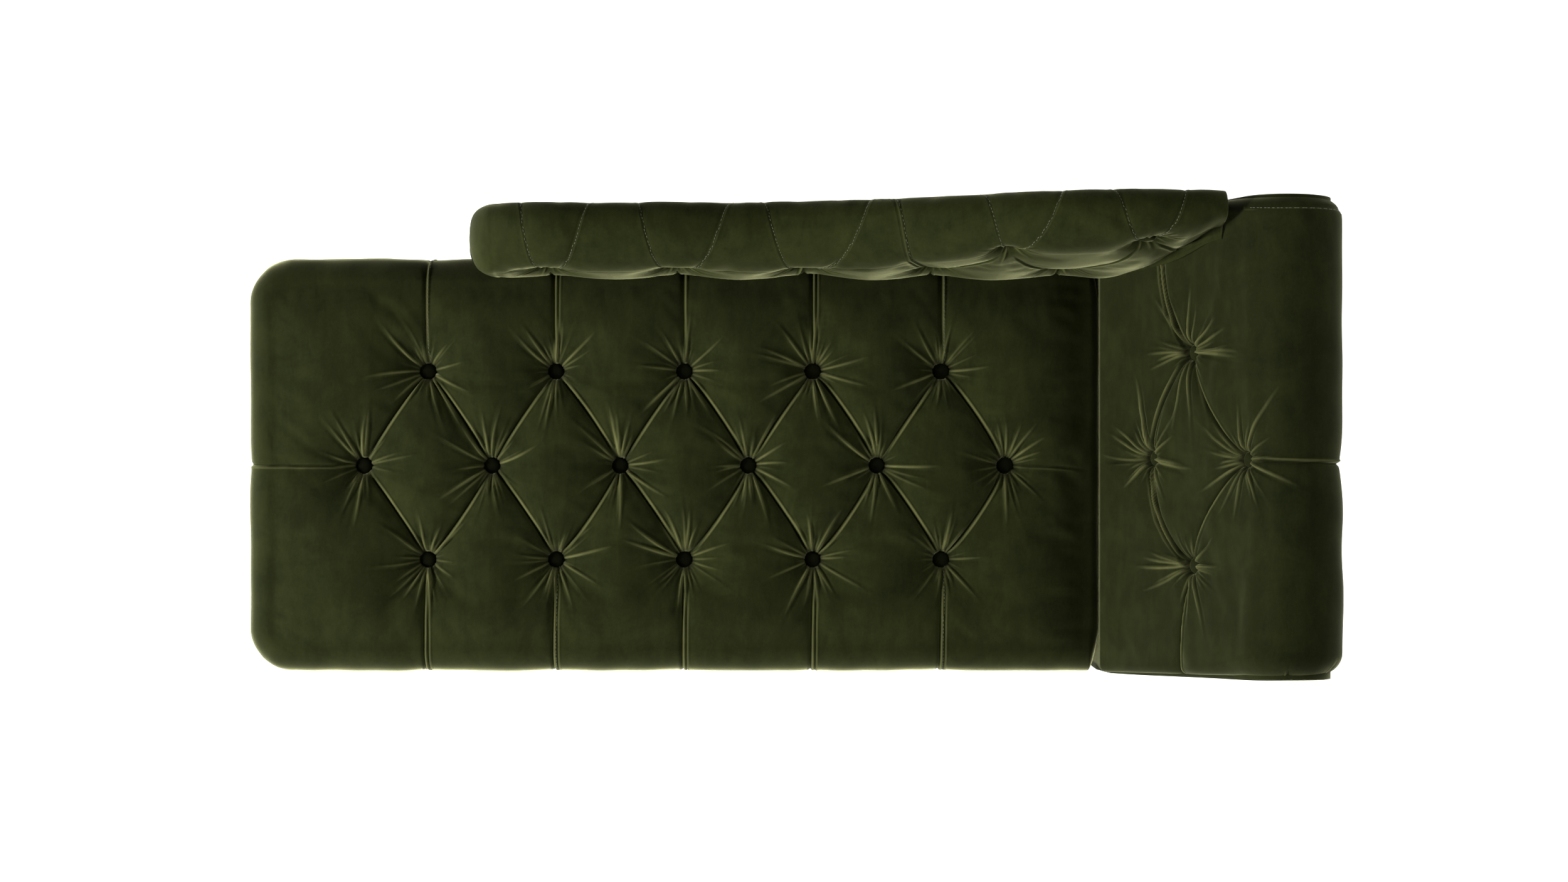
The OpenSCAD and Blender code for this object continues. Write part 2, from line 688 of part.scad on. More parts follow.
module arm_board(front, rear) {
  along_y(front, rear) arm_shape(board_in);
}
module arm_front_board() {
  color(wood) arm_board(board_y0, board_y0 + board_t);
}
module arm_rear_board() {
  color(wood) arm_board(board_y1 - board_t, board_y1);
}
rib_y = (board_y0 + board_y1) / 2 + plug_r;
module arm_middle_rib() {
  color(wood) difference() {
    arm_board(rib_y, rib_y + board_t);
    for (a = [arm_side_x, arm_edge_x - rail_t])
      span([a - overrun, rib_y - overrun, z0 - overrun],
        [a + rail_t + overrun, rib_y + board_t + overrun, arm_low_z]);
    span([arm_side_x - overrun, rib_y - overrun, tack_z0 - gap],
      [tack_x1 + gap, rib_y + board_t + overrun, tack_z1 + overrun]);
    translate([roll_x, rib_y - overrun, roll_z]) rotate([-90, 0, 0])
      cylinder(h = board_t + 2 * overrun, r = roll_r);
  }
}

arm_rail_h = 150;
arm_low_z = z0 + arm_rail_h;
inner_y0 = board_y0 + board_t;
inner_y1 = board_y1 - board_t;
tack_z1 = crease.y - board_in * cos(lean_a);
tack_z0 = tack_z1 - 2 * rail_t;
tack_x1 = crease.x + board_in * sin(lean_a);
module arm_lower_rail() {
  color(wood) difference() {
    span([arm_side_x, inner_y0, z0], [arm_side_x + rail_t, inner_y1, arm_low_z]);
    at_arm_bolts() bolt_hole(arm_grip);
    at_legs([3, 4]) translate([-block_w / 2 - gap, -block_w / 2 - gap, -overrun])
      cube([block_w + 2 * gap, block_w + 2 * gap, block_h + gap + overrun]);
  }
}
module arm_outer_rail() {
  color(wood) difference() {
    span([arm_edge_x - rail_t, inner_y0, z0], [arm_edge_x, inner_y1, arm_low_z - rail_t]);
    at_legs([3, 4]) translate([-block_w / 2 - gap, -block_w / 2 - gap, -overrun])
      cube([block_w + 2 * gap, block_w + 2 * gap, block_h + gap + overrun]);
  }
}
module arm_tack_rail() {
  color(wood) span([arm_side_x, inner_y0, tack_z0], [tack_x1, inner_y1, tack_z1]);
}
tube_wall = 9;
module arm_roll_tube() {
  tube_r = roll_r - board_in;
  color(card) difference() {
    translate([roll_x, inner_y0, roll_z]) rotate([-90, 0, 0]) difference() {
      cylinder(h = inner_y1 - inner_y0, r = tube_r);
      translate([0, 0, -overrun]) cylinder(h = inner_y1 - inner_y0 + 2 * overrun, r = tube_r - tube_wall);
    }
    at_arm_tufts() translate([0, 0, -2 * arm_tie_l]) cylinder(h = 2 * arm_tie_l, r = washer_r + gap);
  }
}

// Straps across the leaning edges of boards and rib
web_w = 50;
arm_web_shares = [0.17, 0.48, 0.81];
module arm_webbing() {
  color(jute) along_y(board_y0, board_y1) for (k = arm_web_shares)
    translate(crease + (arm_foam_in + gap / 2) * lean_in + (k * slope_l - web_w / 2) * lean_dir)
      rotate(lean_a) translate([0, -web_t + gap / 2]) square([web_w, web_t - gap / 2]);
}

module facing(front, rear) {
  color(velvet) along_y(front, rear) arm_shape(arm_wadding_t + gap);
}
module arm_front_facing() { facing(arm_y0, arm_y0 + facing_t); }
module arm_rear_facing() { facing(arm_y1 - facing_t, arm_y1); }

panel_t = 4;
module arm_outside_panel() {
  top = roll_z - sqrt(roll_r * roll_r - pow(neck_in - panel_t, 2)) - gap - panel_t;
  color(velvet)
    span([arm_edge_x + gap, arm_cover_y0, z0], [arm_edge_x + gap + panel_t, arm_cover_y1, top]);
}
module arm_dust_cover() {
  color(cloth) difference() {
    span([arm_side_x + skin, board_y0 + skin, z0 - sheet_t], [arm_edge_x - skin, board_y1 - skin, z0]);
    at_legs([3, 4]) translate([-plate_w / 2 - gap, -plate_w / 2 - gap, -sheet_t - overrun])
      cube([plate_w + 2 * gap, plate_w + 2 * gap, sheet_t + 2 * overrun]);
  }
}

// Machine bolts with a hexagon head, a washer and a nut; z runs from the head to the nut
bolt_r = 4;
bolt_gap = 0.25;
bolt_head_r = 7.5;
bolt_head_h = 5.5;
bolt_washer_r = 10;
bolt_washer_t = 1.6;
module bolt(grip) {
  cylinder(h = grip + 2 * bolt_washer_t + bolt_head_h, r = bolt_r);
  translate([0, 0, -bolt_head_h]) cylinder(h = bolt_head_h, r = bolt_head_r, $fn = 6);
  cylinder(h = bolt_washer_t, r = bolt_washer_r);
  translate([0, 0, grip + bolt_washer_t]) cylinder(h = bolt_washer_t, r = bolt_washer_r);
  translate([0, 0, grip + 2 * bolt_washer_t]) cylinder(h = bolt_head_h, r = bolt_head_r, $fn = 6);
}
module bolt_hole(grip) {
  cylinder(h = grip + 2 * bolt_washer_t + overrun, r = bolt_r + bolt_gap);
}
arm_bolt_in = 150;
arm_bolt_h = 85;
arm_bolt_row_shares = [1, 1.5];
arm_grip = 2 * rail_t + gap + skin;
module at_arm_bolts() {
  for (y = [rail_y0 + arm_bolt_in, rail_y1 - arm_bolt_in], k = arm_bolt_row_shares)
    translate([rail_x1 - rail_t - bolt_washer_t, y, z0 + k * arm_bolt_h]) rotate([0, 90, 0]) children();
}
module arm_bolts() {
  color(steel) at_arm_bolts() bolt(arm_grip);
}

// Back: the top line rises from the low end to the high end in one smooth sweep
back_x0 = x0 + back_start;
back_x1 = back_x0 + back_l;
back_y0 = y1 - back_t;
post_y1 = y1 - band_set;
post_y0 = post_y1 - post_d;
swoop_start_share = 0.4;
swoop_end_share = 0.87;
end_drop_shares = [1.4, 0.25];
end_run_shares = [0.15, 0.12];
back_end_r = 45;
back_shoulder = 70;
back_rear_r = 30;
back_pad_share = 0.79;
back_pad_z = rail_z + seat_pad_h * back_pad_share;
back_lean_share = 0.075;
back_bulge_drop = 17;
back_bulge_z = z0 + back_row_h - back_bulge_drop;
back_pleat_share = 0.6;
back_pleat_d = pleat_d * back_pleat_share;
back_rear_share = 0.6;

function end_fall(t) = 1 - sqrt(1 - t * t);
function back_top(x) =
  let(t = (x - back_x0) / back_l, a = max(0, 1 - t / end_run_shares[0]),
    b = max(0, 1 - (1 - t) / end_run_shares[1]))
  z0 + back_low_h + (back_high_h - back_low_h)
    * smooth((t - swoop_start_share) / (swoop_end_share - swoop_start_share))
    - end_fall(min(1, a)) * end_drop_shares[0] * back_shoulder
    - end_fall(min(1, b)) * end_drop_shares[1] * back_shoulder;
function back_front(x, z) = back_y0 + back_lean_share * max(0, z - back_bulge_z);

back_pitch = (back_l - back_tuft_first - back_tuft_last) / 4;
back_low_tufts = [for (i = [0:4]) [back_x0 + back_tuft_first + i * back_pitch, z0 + back_row_h]];
back_high_tufts = [for (i = [3.5, 4.5]) let(x = back_x0 + back_tuft_first + i * back_pitch)
  [x, back_top(x) - back_shoulder]];
back_tufts = concat(back_low_tufts, back_high_tufts);
back_last_x = back_high_tufts[1].x;

// Lines along the back, through the tufts, with the left end rounded in plan
back_end_shares = [0, 0.12, 0.4];
back_lines = concat([for (k = back_end_shares) back_x0 + k * back_end_r],
  [for (i = [0:2]) back_x0 + back_end_r + i / 3 * (back_tuft_first - back_end_r)],
  [for (i = [0:35]) back_x0 + back_tuft_first + i * back_pitch / 8],
  [for (i = [0:3]) back_last_x + i / 3 * (back_x1 - back_last_x)]);
back_ring_n = 19;

function back_dent(x, z) =
  let(u = (x - back_low_tufts[0].x) / back_pitch, r = nearest([x, z], back_tufts),
    low = z0 + back_row_h, w = abs(u - round(u)) * 2,
    v = (z - low) / (back_high_tufts[0].y - low),
    g = v < 0 ? w : u > 3 ? abs(w - min(v, 1)) : abs(w - v))
  back_pleat_d * max(0, 1 - g * pleat_fade_share) + (side_tuft_d - back_pleat_d) * pit(r);
function back_end_in(x) = x < back_x0 + back_end_r ?
  let(t = 1 - (x - back_x0) / back_end_r) back_end_r * end_fall(t) : 0;
function shoulder_point(x, top, k) =
  let(y = back_front(x, top - back_shoulder), w = y1 - back_rear_r - y, a = k * 90 / 4)
  [y + w * (1 - cos(a)), top - back_shoulder * (1 - sin(a))];
function back_ring(x) =
  let(top = back_top(x) - back_end_in(x), e = back_end_in(x), low = z0 + back_row_h,
    high = top - back_shoulder, mid = seat_y1 + 2 * gap)
  concat([[x, mid, back_pad_z], [x, mid - skin + e / 4, back_pad_z + skin]],
    [for (k = [1, 2]) [x, back_front(x, low) + e + (3 - k) * (mid - back_y0) / 5,
      back_pad_z + (low - back_pad_z) * k / 3 + skin]],
    [for (k = [0:5]) let(z = low + (high - low) * k / 5) [x, back_front(x, z) + e + back_dent(x, z), z]],
    [for (k = [1:4]) let(p = shoulder_point(x, top, k))
      [x, min(p.x + e + back_dent(x, p.y + (p.y - high) / 2) * (1 - k / 4), y1 - back_rear_r), p.y]],
    [for (a = [30, 60, 90]) [x, y1 - back_rear_r + (back_rear_r - e * back_rear_share) * sin(a),
      top - back_rear_r * (1 - cos(a))]],
    [[x, y1 - e * back_rear_share, high - back_rear_r], [x, y1 - e * back_rear_share, back_pad_z]]);

module back_form() {
  a = back_lines[0];
  b = back_lines[len(back_lines) - 1];
  loft([for (x = back_lines) back_ring(x)], back_ring_n,
    [a, y1 - back_t / 2, back_pad_z + back_shoulder / 2], [b, y1 - back_t / 2, back_pad_z + back_shoulder]);
}

// Outline of the back seen from the front, set in from the top and the left end
back_steps = 40;
module back_outline(top_in, end_in, z_low) {
  a = back_x0 + end_in;
  polygon(concat([[back_x1, z_low], [a, z_low]],
    [for (i = [0:back_steps]) let(x = a + i / back_steps * (back_x1 - a)) [x, back_top(x) - top_in]]));
}
// The arm's room, cut from what the back has beside it
module arm_room(grow) {
  r = roll_r + grow;
  a = crease - grow * lean_in;
  along_y(y0, y1 + overrun) {
    translate(roll_c) circle(r);
    polygon([[arm_x0 - grow, z0 - overrun], [x1, z0 - overrun], [x1, roll_z], roll_c,
      a + slope_l * lean_dir, a, [arm_x0 - grow, crease.y]]);
  }
}

back_top_in = 30;
back_foam_in = 58;
back_panel_in = 45;
back_inner_in = 40;
back_foam_y = back_y0 + arm_wadding_t;
back_foam_z = back_pad_z + seat_wadding_t;
back_web_y = post_y0 - web_t;
// Frame room inside the back's cover
module back_frame_room() {
  along_y(back_web_y, post_y1) back_outline(back_top_in, back_inner_in, back_pad_z - overrun);
  along_y(post_y1 - overrun, y1 + overrun) back_outline(back_panel_in, back_inner_in, back_pad_z - overrun);
}
module back_foam_raw() {
  z_top = z0 + back_high_h;
  intersection() {
    along_y(back_foam_y - overrun, back_web_y) back_outline(back_foam_in, back_inner_in, back_foam_z);
    translate([back_x0, 0, 0]) rotate([90, 0, 90]) linear_extrude(back_l) polygon([
      [back_web_y, back_foam_z], [back_foam_y, back_foam_z + seat_wadding_t],
      [back_foam_y + back_lean_share * (z_top - back_foam_z), z_top], [back_web_y, z_top]]);
  }
}
module at_back_tufts() {
  for (t = back_tufts)
    translate([t.x, back_front(t.x, t.y) + side_tuft_d + button_sink, t.y]) rotate([90, 0, 0]) children();
}
module back_plugs() {
  at_back_tufts() plug_hole();
  at_back_tufts() tie_hole(back_t / 2);
}
module back_foam() {
  color(foam) difference() {
    back_foam_raw();
    back_plugs();
    arm_room(2 * skin);
  }
}
module back_cover() {
  color(velvet) difference() {
    back_form();
    difference() {
      back_foam_raw();
      back_plugs();
    }
    back_frame_room();
    arm_room(gap);
    at_back_tufts() button_pocket();
    at_back_tufts() tie_hole(back_t / 2);
  }
}
module back_buttons() {
  color(velvet) at_back_tufts() button();
}
module back_button_ties() {
  color(jute) for (t = back_tufts) {
    y = back_front(t.x, t.y) + side_tuft_d + button_sink;
    translate([t.x, y, t.y]) rotate([90, 0, 0]) tie(post_y0 - y + gap);
  }
}

post_w = 40;
rail_d = 22;
post_pitch_shares = [1.25, 2.75];
post_places = [back_x0 + back_inner_in,
  back_x0 + back_tuft_first + post_pitch_shares[0] * back_pitch,
  back_x0 + back_tuft_first + post_pitch_shares[1] * back_pitch,
  rail_x1 - rail_t - post_w - bolt_washer_r - gap];
module back_posts() {
  color(wood) difference() {
    for (x = post_places)
      intersection() {
        span([x, post_y0, z0], [x + post_w, post_y1 - rail_d, z0 + back_high_h]);
        along_y(post_y0, post_y1) back_outline(back_top_in, back_inner_in, z0);
      }
    at_back_bolts() bolt_hole(back_grip);
    back_tie_room();
  }
}
// Room for the twine and its washers where a tuft lies before a rail or post
module back_tie_room() {
  for (t = back_tufts) translate([t.x, post_y1, t.y]) rotate([90, 0, 0])
    cylinder(h = post_d + web_t, r = washer_r + gap);
}
top_rail_h = 70;
module back_top_rail() {
  color(wood) difference() {
    along_y(post_y1 - rail_d, post_y1) difference() {
      back_outline(back_top_in, back_inner_in, z0);
      back_outline(back_top_in + top_rail_h, 0, z0 - overrun);
    }
    arm_room(2 * skin);
    back_tie_room();
  }
}
bottom_rail_h = 130;
module back_bottom_rail() {
  color(wood) difference() {
    span([post_places[0], post_y1 - rail_d, z0], [post_places[3] + post_w, post_y1, z0 + bottom_rail_h]);
    at_back_bolts() bolt_hole(back_grip);
    at_back_bolts() translate([0, 0, back_grip + bolt_washer_t])
      cylinder(h = nut_room + overrun, r = bolt_washer_r + gap);
  }
}
module back_mount_rail() {
  color(wood) difference() {
    span([post_places[0], base_y1 + gap, z0], [post_places[3] + post_w, post_y0, z0 + bottom_rail_h]);
    at_back_bolts() bolt_hole(back_grip);
  }
}
web_row_shares = [0.18, 0.5, 0.82];
back_web_w = 32;
module back_webbing() {
  low = back_foam_z;
  room = z0 + back_low_h - back_top_in - low;
  color(jute) difference() {
    intersection() {
      for (k = web_row_shares)
        translate([post_places[0], back_web_y + gap / 2, low + k * room - back_web_w / 2])
          cube([post_places[3] + post_w - post_places[0], web_t - gap / 2, back_web_w]);
      along_y(y0, y1) back_outline(back_top_in + gap, back_inner_in + gap, z0);
    }
    at_back_tufts() tie_hole(back_t / 2);
  }
}
module back_outside_panel() {
  color(velvet) difference() {
    along_y(post_y1 + gap, post_y1 + gap + panel_t)
      back_outline(back_panel_in + gap, back_inner_in + gap, z0);
    arm_room(gap);
  }
}
module back_end_panel() {
  a = post_places[0] - gap - panel_t;
  color(velvet) {
    span([a, base_y1 + gap, z0], [a + panel_t, post_y1 + gap + panel_t, rail_z]);
    span([a, seat_y1 + gap, rail_z], [a + panel_t, post_y1 + gap + panel_t, back_pad_z - gap]);
  }
}
back_bolt_h = 80;
back_bolt_places = [for (x = post_places) x + post_w / 2];
nut_room = 12;
back_grip = rail_t + skin + (post_y1 - base_y1) - nut_room;
module at_back_bolts() {
  for (x = back_bolt_places)
    translate([x, rail_y1 - rail_t - bolt_washer_t, z0 + back_bolt_h]) rotate([-90, 0, 0]) children();
}
module back_bolts() {
  color(steel) at_back_bolts() bolt(back_grip);
}

front_rail();
rear_rail();
foot_rail();
head_rail();
cross_stretchers();
corner_blocks();
seat_springs();
spring_clips();
spring_tie_wires();
seat_insulator();
seat_foam();
seat_cover();
seat_buttons();
seat_button_ties();
base_band();
dust_cover();
leg_plates();
plate_screws();
front_foot_leg();
rear_foot_leg();
centre_leg();
front_head_leg();
rear_head_leg();
hanger_bolts();
leg_glides();
arm_front_board();
arm_rear_board();
arm_middle_rib();
arm_lower_rail();
arm_tack_rail();
arm_outer_rail();
arm_leg_blocks();
arm_roll_tube();
arm_webbing();
arm_foam();
arm_cover();
arm_buttons();
arm_button_ties();
arm_front_facing();
arm_rear_facing();
arm_outside_panel();
arm_dust_cover();
arm_bolts();
back_posts();
back_top_rail();
back_bottom_rail();
back_mount_rail();
back_webbing();
back_foam();
back_cover();
back_buttons();
back_button_ties();
back_outside_panel();
back_end_panel();
back_bolts();
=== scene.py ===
"""A fainting couch in buttoned green velvet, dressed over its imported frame."""

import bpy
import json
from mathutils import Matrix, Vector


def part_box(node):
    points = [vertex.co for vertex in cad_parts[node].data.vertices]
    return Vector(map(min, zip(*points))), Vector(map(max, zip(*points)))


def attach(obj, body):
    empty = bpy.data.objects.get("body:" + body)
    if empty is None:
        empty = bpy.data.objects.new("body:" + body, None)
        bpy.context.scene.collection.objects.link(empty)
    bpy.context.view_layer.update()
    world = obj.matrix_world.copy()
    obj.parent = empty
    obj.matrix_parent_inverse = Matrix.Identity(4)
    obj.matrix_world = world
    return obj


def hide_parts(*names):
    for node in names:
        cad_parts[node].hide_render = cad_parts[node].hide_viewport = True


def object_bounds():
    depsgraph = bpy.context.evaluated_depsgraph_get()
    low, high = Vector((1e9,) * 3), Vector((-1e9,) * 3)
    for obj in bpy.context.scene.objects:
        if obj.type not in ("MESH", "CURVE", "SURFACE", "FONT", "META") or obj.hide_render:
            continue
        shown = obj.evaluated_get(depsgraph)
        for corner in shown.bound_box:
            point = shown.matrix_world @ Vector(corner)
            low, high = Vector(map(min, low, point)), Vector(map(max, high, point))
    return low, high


bl_info = {
    "name": "Fainting Couch",
    "version": (1, 0, 0),
    "blender": (4, 5, 0),
    "location": "3D View > Sidebar > Couch",
    "description": "Dresses the couch in buttoned velvet and turned legs and lights it",
    "category": "Object",
}

import json
import math
from collections import namedtuple

import bmesh
import bpy
import numpy as np
from bpy.props import FloatProperty, FloatVectorProperty, IntProperty, PointerProperty

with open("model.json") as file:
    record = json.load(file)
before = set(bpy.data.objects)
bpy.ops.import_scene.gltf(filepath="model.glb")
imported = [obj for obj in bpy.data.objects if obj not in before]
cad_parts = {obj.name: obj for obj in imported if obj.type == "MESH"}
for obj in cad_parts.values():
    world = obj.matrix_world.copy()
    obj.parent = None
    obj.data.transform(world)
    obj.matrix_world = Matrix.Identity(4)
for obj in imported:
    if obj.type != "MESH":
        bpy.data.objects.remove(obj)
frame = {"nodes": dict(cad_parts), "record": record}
CAD_BOX = [[float(c) for c in corner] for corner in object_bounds()]
MM = 0.001


# Places taken from the frame
def low(node):
    """Lowest corner of a node's box."""
    return np.array(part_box(node)[0], float)


def high(node):
    """Highest corner of a node's box."""
    return np.array(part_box(node)[1], float)


def button_places(node, reach=40 * MM):
    """Middles of the separate buttons in a node: vertices within reach of one another belong together."""
    mesh = frame["nodes"][node].data
    points = np.empty(len(mesh.vertices) * 3, np.float32)
    mesh.vertices.foreach_get("co", points)
    points = points.reshape(-1, 3).astype(float)
    found = []
    while len(points):
        near = np.linalg.norm(points - points[0], axis=1) < reach
        found.append((points[near].min(0) + points[near].max(0)) / 2)
        points = points[~near]
    return np.array(sorted(found, key=lambda p: (round(p[1], 2), p[0])))


# Sizes and colours that a user would change
def length(name, description, millimetres):
    """A size with its default in millimetres."""
    return FloatProperty(name=name, description=description, default=millimetres * MM, unit="LENGTH")


def paint(name, description, default):
    """A colour with its default."""
    return FloatVectorProperty(name=name, description=description, default=default, subtype="COLOR")


class CouchSizes(bpy.types.PropertyGroup):
    """Depths, radii and the cloth's settings"""

    tuft_depth: length("Tuft depth", "How far a button pulls the seat down", 33)
    side_depth: length("Side tuft depth", "How far a button pulls the arm or back in", 26)
    crease: length("Crease", "Depth of the sharp fold of a pleat", 5.5)
    valley: length("Valley", "Depth of the soft dip along a pleat", 8)
    wrinkle: length("Wrinkle", "Height of the gathers round a button", 5.6)
    crown: length("Crown", "Fall of the seat's top from the middle to the edges", 8)
    corner: length("Corner", "Radius of the seat's corners in plan", 70)
    edge: length("Edge", "Rounding of the seat's upper edge", 40)
    roll: length("Scroll", "Radius of the arm's scroll", 84.5)
    crease_height: length("Crease height", "Height where the arm's face starts", 450)
    step: length("Mesh step", "Spacing of the mesh lines on the cushions", 1.7)
    pressure: FloatProperty(name="Pressure", description="Pressure that blows the cloth up", default=4.0)
    slack: FloatProperty(name="Slack", description="Share by which the cloth is cut too large", default=0.01)
    swell: length("Swell", "Most that the cloth may move", 24)
    seed: IntProperty(name="Seed", description="Start of the random draws for wrinkles", default=7)


class CouchColours(bpy.types.PropertyGroup):
    """Colours of the velvet, the thread, the legs and the floor"""

    velvet: paint("Velvet", "Colour of the pile seen straight on", (0.0074, 0.0096, 0.0018))
    velvet_light: paint("Brushed velvet", "Colour of pile that leans away", (0.0150, 0.0180, 0.0040))
    # Painted highlight: this pale colour is laid on the ridges of the gathers and the lips of the pleats.
    painted_crest_highlight: paint("Velvet crest", "Painted highlight on the ridges of gathers and the lips of pleats", (0.105, 0.108, 0.040))
    sheen: paint("Sheen", "Colour of the pile's edge light", (0.95, 0.97, 0.50))
    thread: paint("Thread", "Colour of the sewing thread", (0.045, 0.050, 0.020))
    leg: paint("Leg", "Stain of the turned legs", (0.030, 0.013, 0.007))
    floor: paint("Floor", "Colour of the studio floor", (0.92, 0.92, 0.92))


def sizes():
    """The sizes as the user has set them."""
    return bpy.context.scene.couch_sizes


def colours():
    """The colours as the user has set them."""
    return bpy.context.scene.couch_colours


# Shader maths
class Num:
    """A value in a shader. Arithmetic on it adds Math nodes."""

    def __init__(self, look, socket):
        self.look, self.socket = look, socket

    def _math(self, operation, a, b):
        return Num(self.look, self.look.node("ShaderNodeMath", {"operation": operation}, a, b).outputs[0])

    def __add__(self, other):
        return self._math("ADD", self, other)

    __radd__ = __add__

    def __mul__(self, other):
        return self._math("MULTIPLY", self, other)

    __rmul__ = __mul__

    def __sub__(self, other):
        return self._math("SUBTRACT", self, other)

    def __rsub__(self, other):
        return self._math("SUBTRACT", other, self)

    def __pow__(self, other):
        return self._math("POWER", self, other)


class Look:
    """One material: a Principled shader and the nodes that feed it."""

    def __init__(self, name, **constants):
        """The constants are the shader's own sockets, with _ for a space."""
        self.material = bpy.data.materials.new(name)
        self.material.use_nodes = True
        self.tree = self.material.node_tree
        self.shader = self.tree.nodes["Principled BSDF"]
        for key, value in constants.items():
            self.shader.inputs[key.replace("_", " ")].default_value = value

    def node(self, kind, settings, *values, **named):
        """Adds a node, gives it its settings, then the values or links of its sockets."""
        made = self.tree.nodes.new(kind)
        for key, value in settings.items():
            setattr(made, key, value)
        for socket, value in zip(made.inputs, values):
            self.feed(socket, value)
        for key, value in named.items():
            self.feed(made.inputs[key.replace("_", " ")], value)
        return made

    def feed(self, socket, value):
        if value is None:
            return
        if isinstance(value, Num):
            value = value.socket
        if isinstance(value, bpy.types.NodeSocket):
            self.tree.links.new(value, socket)
        else:
            socket.default_value = value

    def place(self):
        """Object coordinates, in metres."""
        return self.node("ShaderNodeTexCoord", {}).outputs["Object"]

    def noise(self, scale, detail=3.0, rough=0.5, stretch=(1, 1, 1), distortion=0.0):
        """Noise from 0 to 1 with scale features to the metre."""
        where = self.node("ShaderNodeMapping", {}, Vector=self.place(), Scale=stretch).outputs[0]
        made = self.node("ShaderNodeTexNoise", {}, Vector=where, Scale=scale, Detail=detail,
                         Roughness=rough, Distortion=distortion)
        return Num(self, made.outputs[0])

    def attribute(self, name):
        return Num(self, self.node("ShaderNodeAttribute", {"attribute_name": name}).outputs["Fac"])

    def spread(self, value, low_end, high_end):
        """Maps low_end to high_end onto 0 to 1, held at both ends."""
        made = self.node("ShaderNodeMapRange", {"clamp": True}, value, low_end, high_end)
        return Num(self, made.outputs[0])

    def blend(self, share, a, b):
        """Mixes two colours."""
        made = self.node("ShaderNodeMix", {"data_type": "RGBA"})
        self.feed(made.inputs[0], share)
        for socket, value in ((made.inputs[6], a), (made.inputs[7], b)):
            self.feed(socket, (*value, 1) if isinstance(value, tuple) else value)
        return made.outputs[2]

    def colour(self, value):
        self.feed(self.shader.inputs["Base Color"], (*value, 1) if isinstance(value, tuple) else value)

    def rough(self, value):
        self.feed(self.shader.inputs["Roughness"], value)

    def bump(self, height, distance, strength=1.0):
        made = self.node("ShaderNodeBump", {}, Strength=strength, Distance=distance, Height=height)
        self.feed(self.shader.inputs["Normal"], made.outputs[0])


def tone(colour, share):
    """A colour made lighter or darker."""
    return tuple(c * share for c in colour)


def velvet_look(name, painted_light_scale=1.0, sheen=1.0):
    """Cotton velvet: short pile that shows paler where it is brushed the other way, with edge light. The second
    argument scales this piece's copy of the colours: below 1 it is painted shade over the whole piece, above 1
    painted light. Ridge tops of the gathers and lips of the pleats get a painted highlight, and pits and folds
    a painted shade."""
    c = colours()
    look = Look(name, Roughness=0.85, Sheen_Weight=sheen, Sheen_Roughness=0.3, Sheen_Tint=(*c.sheen, 1),
                Specular_IOR_Level=0.04)
    brushed = look.noise(9, 4, 0.6, (1, 1.6, 1), 0.8)
    streaks = look.noise(60, 3, 0.6, (1, 0.35, 1), 0.4)
    pile = look.noise(1500, 2, 0.6)
    flecks = look.noise(330, 2, 0.6, (1, 0.6, 1))
    lie = look.spread(brushed * 0.45 + streaks * 0.35 + flecks * 0.2, 0.38, 0.64)
    # Both colours are scaled by the piece's painted light and shade.
    base = look.blend(lie, tone(c.velvet, painted_light_scale), tone(c.velvet_light, painted_light_scale))
    # Painted highlight on the ridges of the gathers and the lips of the pleats.
    painted_highlight = look.spread(look.attribute("painted_highlight"), 0.12, 0.85) * (streaks * 0.6 + 0.5)
    lit = look.blend(painted_highlight, base, tone(c.painted_crest_highlight, painted_light_scale))
    # Painted shade in the pits and along the folds, blended towards a near-black green.
    painted_shade_share = look.spread(look.attribute("painted_shade"), 0.36, 1.0)
    look.colour(look.blend(painted_shade_share * 0.92, lit, tone(c.velvet, 0.1)))
    look.bump(pile + streaks * 0.6, 0.5 * MM, 0.35)
    return look.material


def thread_look():
    look = Look("sewing_thread", Roughness=0.6, Sheen_Weight=0.2)
    look.colour(tuple(colours().thread))
    look.bump(look.noise(1800, 1, 0.5), 0.2 * MM, 0.5)
    return look.material


def wood_look(name, light, dark, roughness, coat):
    """Wood: its grain is drawn out along X and Z, and fine along Y."""
    look = Look(name, Coat_Roughness=0.25, Specular_IOR_Level=0.3, Coat_Weight=coat)
    grain = look.noise(45, 5, 0.62, (0.18, 1.0, 0.12), 1.6)
    pores = look.noise(420, 2, 0.5, (0.1, 1.0, 0.06))
    look.colour(look.blend(look.spread(grain, 0.3, 0.7), dark, light))
    look.rough(look.spread(pores, 0.2, 0.8) * 0.12 + roughness)
    look.bump(grain * 0.6 + pores * 0.4, 0.4 * MM, 0.3)
    return look.material


def steel_look():
    look = Look("zinc_plated_steel", Metallic=1.0)
    patches = look.noise(120, 3, 0.6)
    look.colour(look.blend(patches, (0.38, 0.38, 0.39), (0.60, 0.60, 0.61)))
    look.rough(look.spread(look.noise(300, 3, 0.6), 0.2, 0.8) * 0.2 + 0.28)
    look.bump(patches, 0.2 * MM, 0.15)
    return look.material


def foam_look():
    look = Look("upholstery_foam", Roughness=0.95)
    cells = look.noise(900, 2, 0.7)
    yellowing = look.noise(6, 2, 0.5)
    look.colour(look.blend(yellowing, (0.78, 0.70, 0.47), (0.70, 0.60, 0.36)))
    look.bump(cells, 0.8 * MM, 0.6)
    return look.material


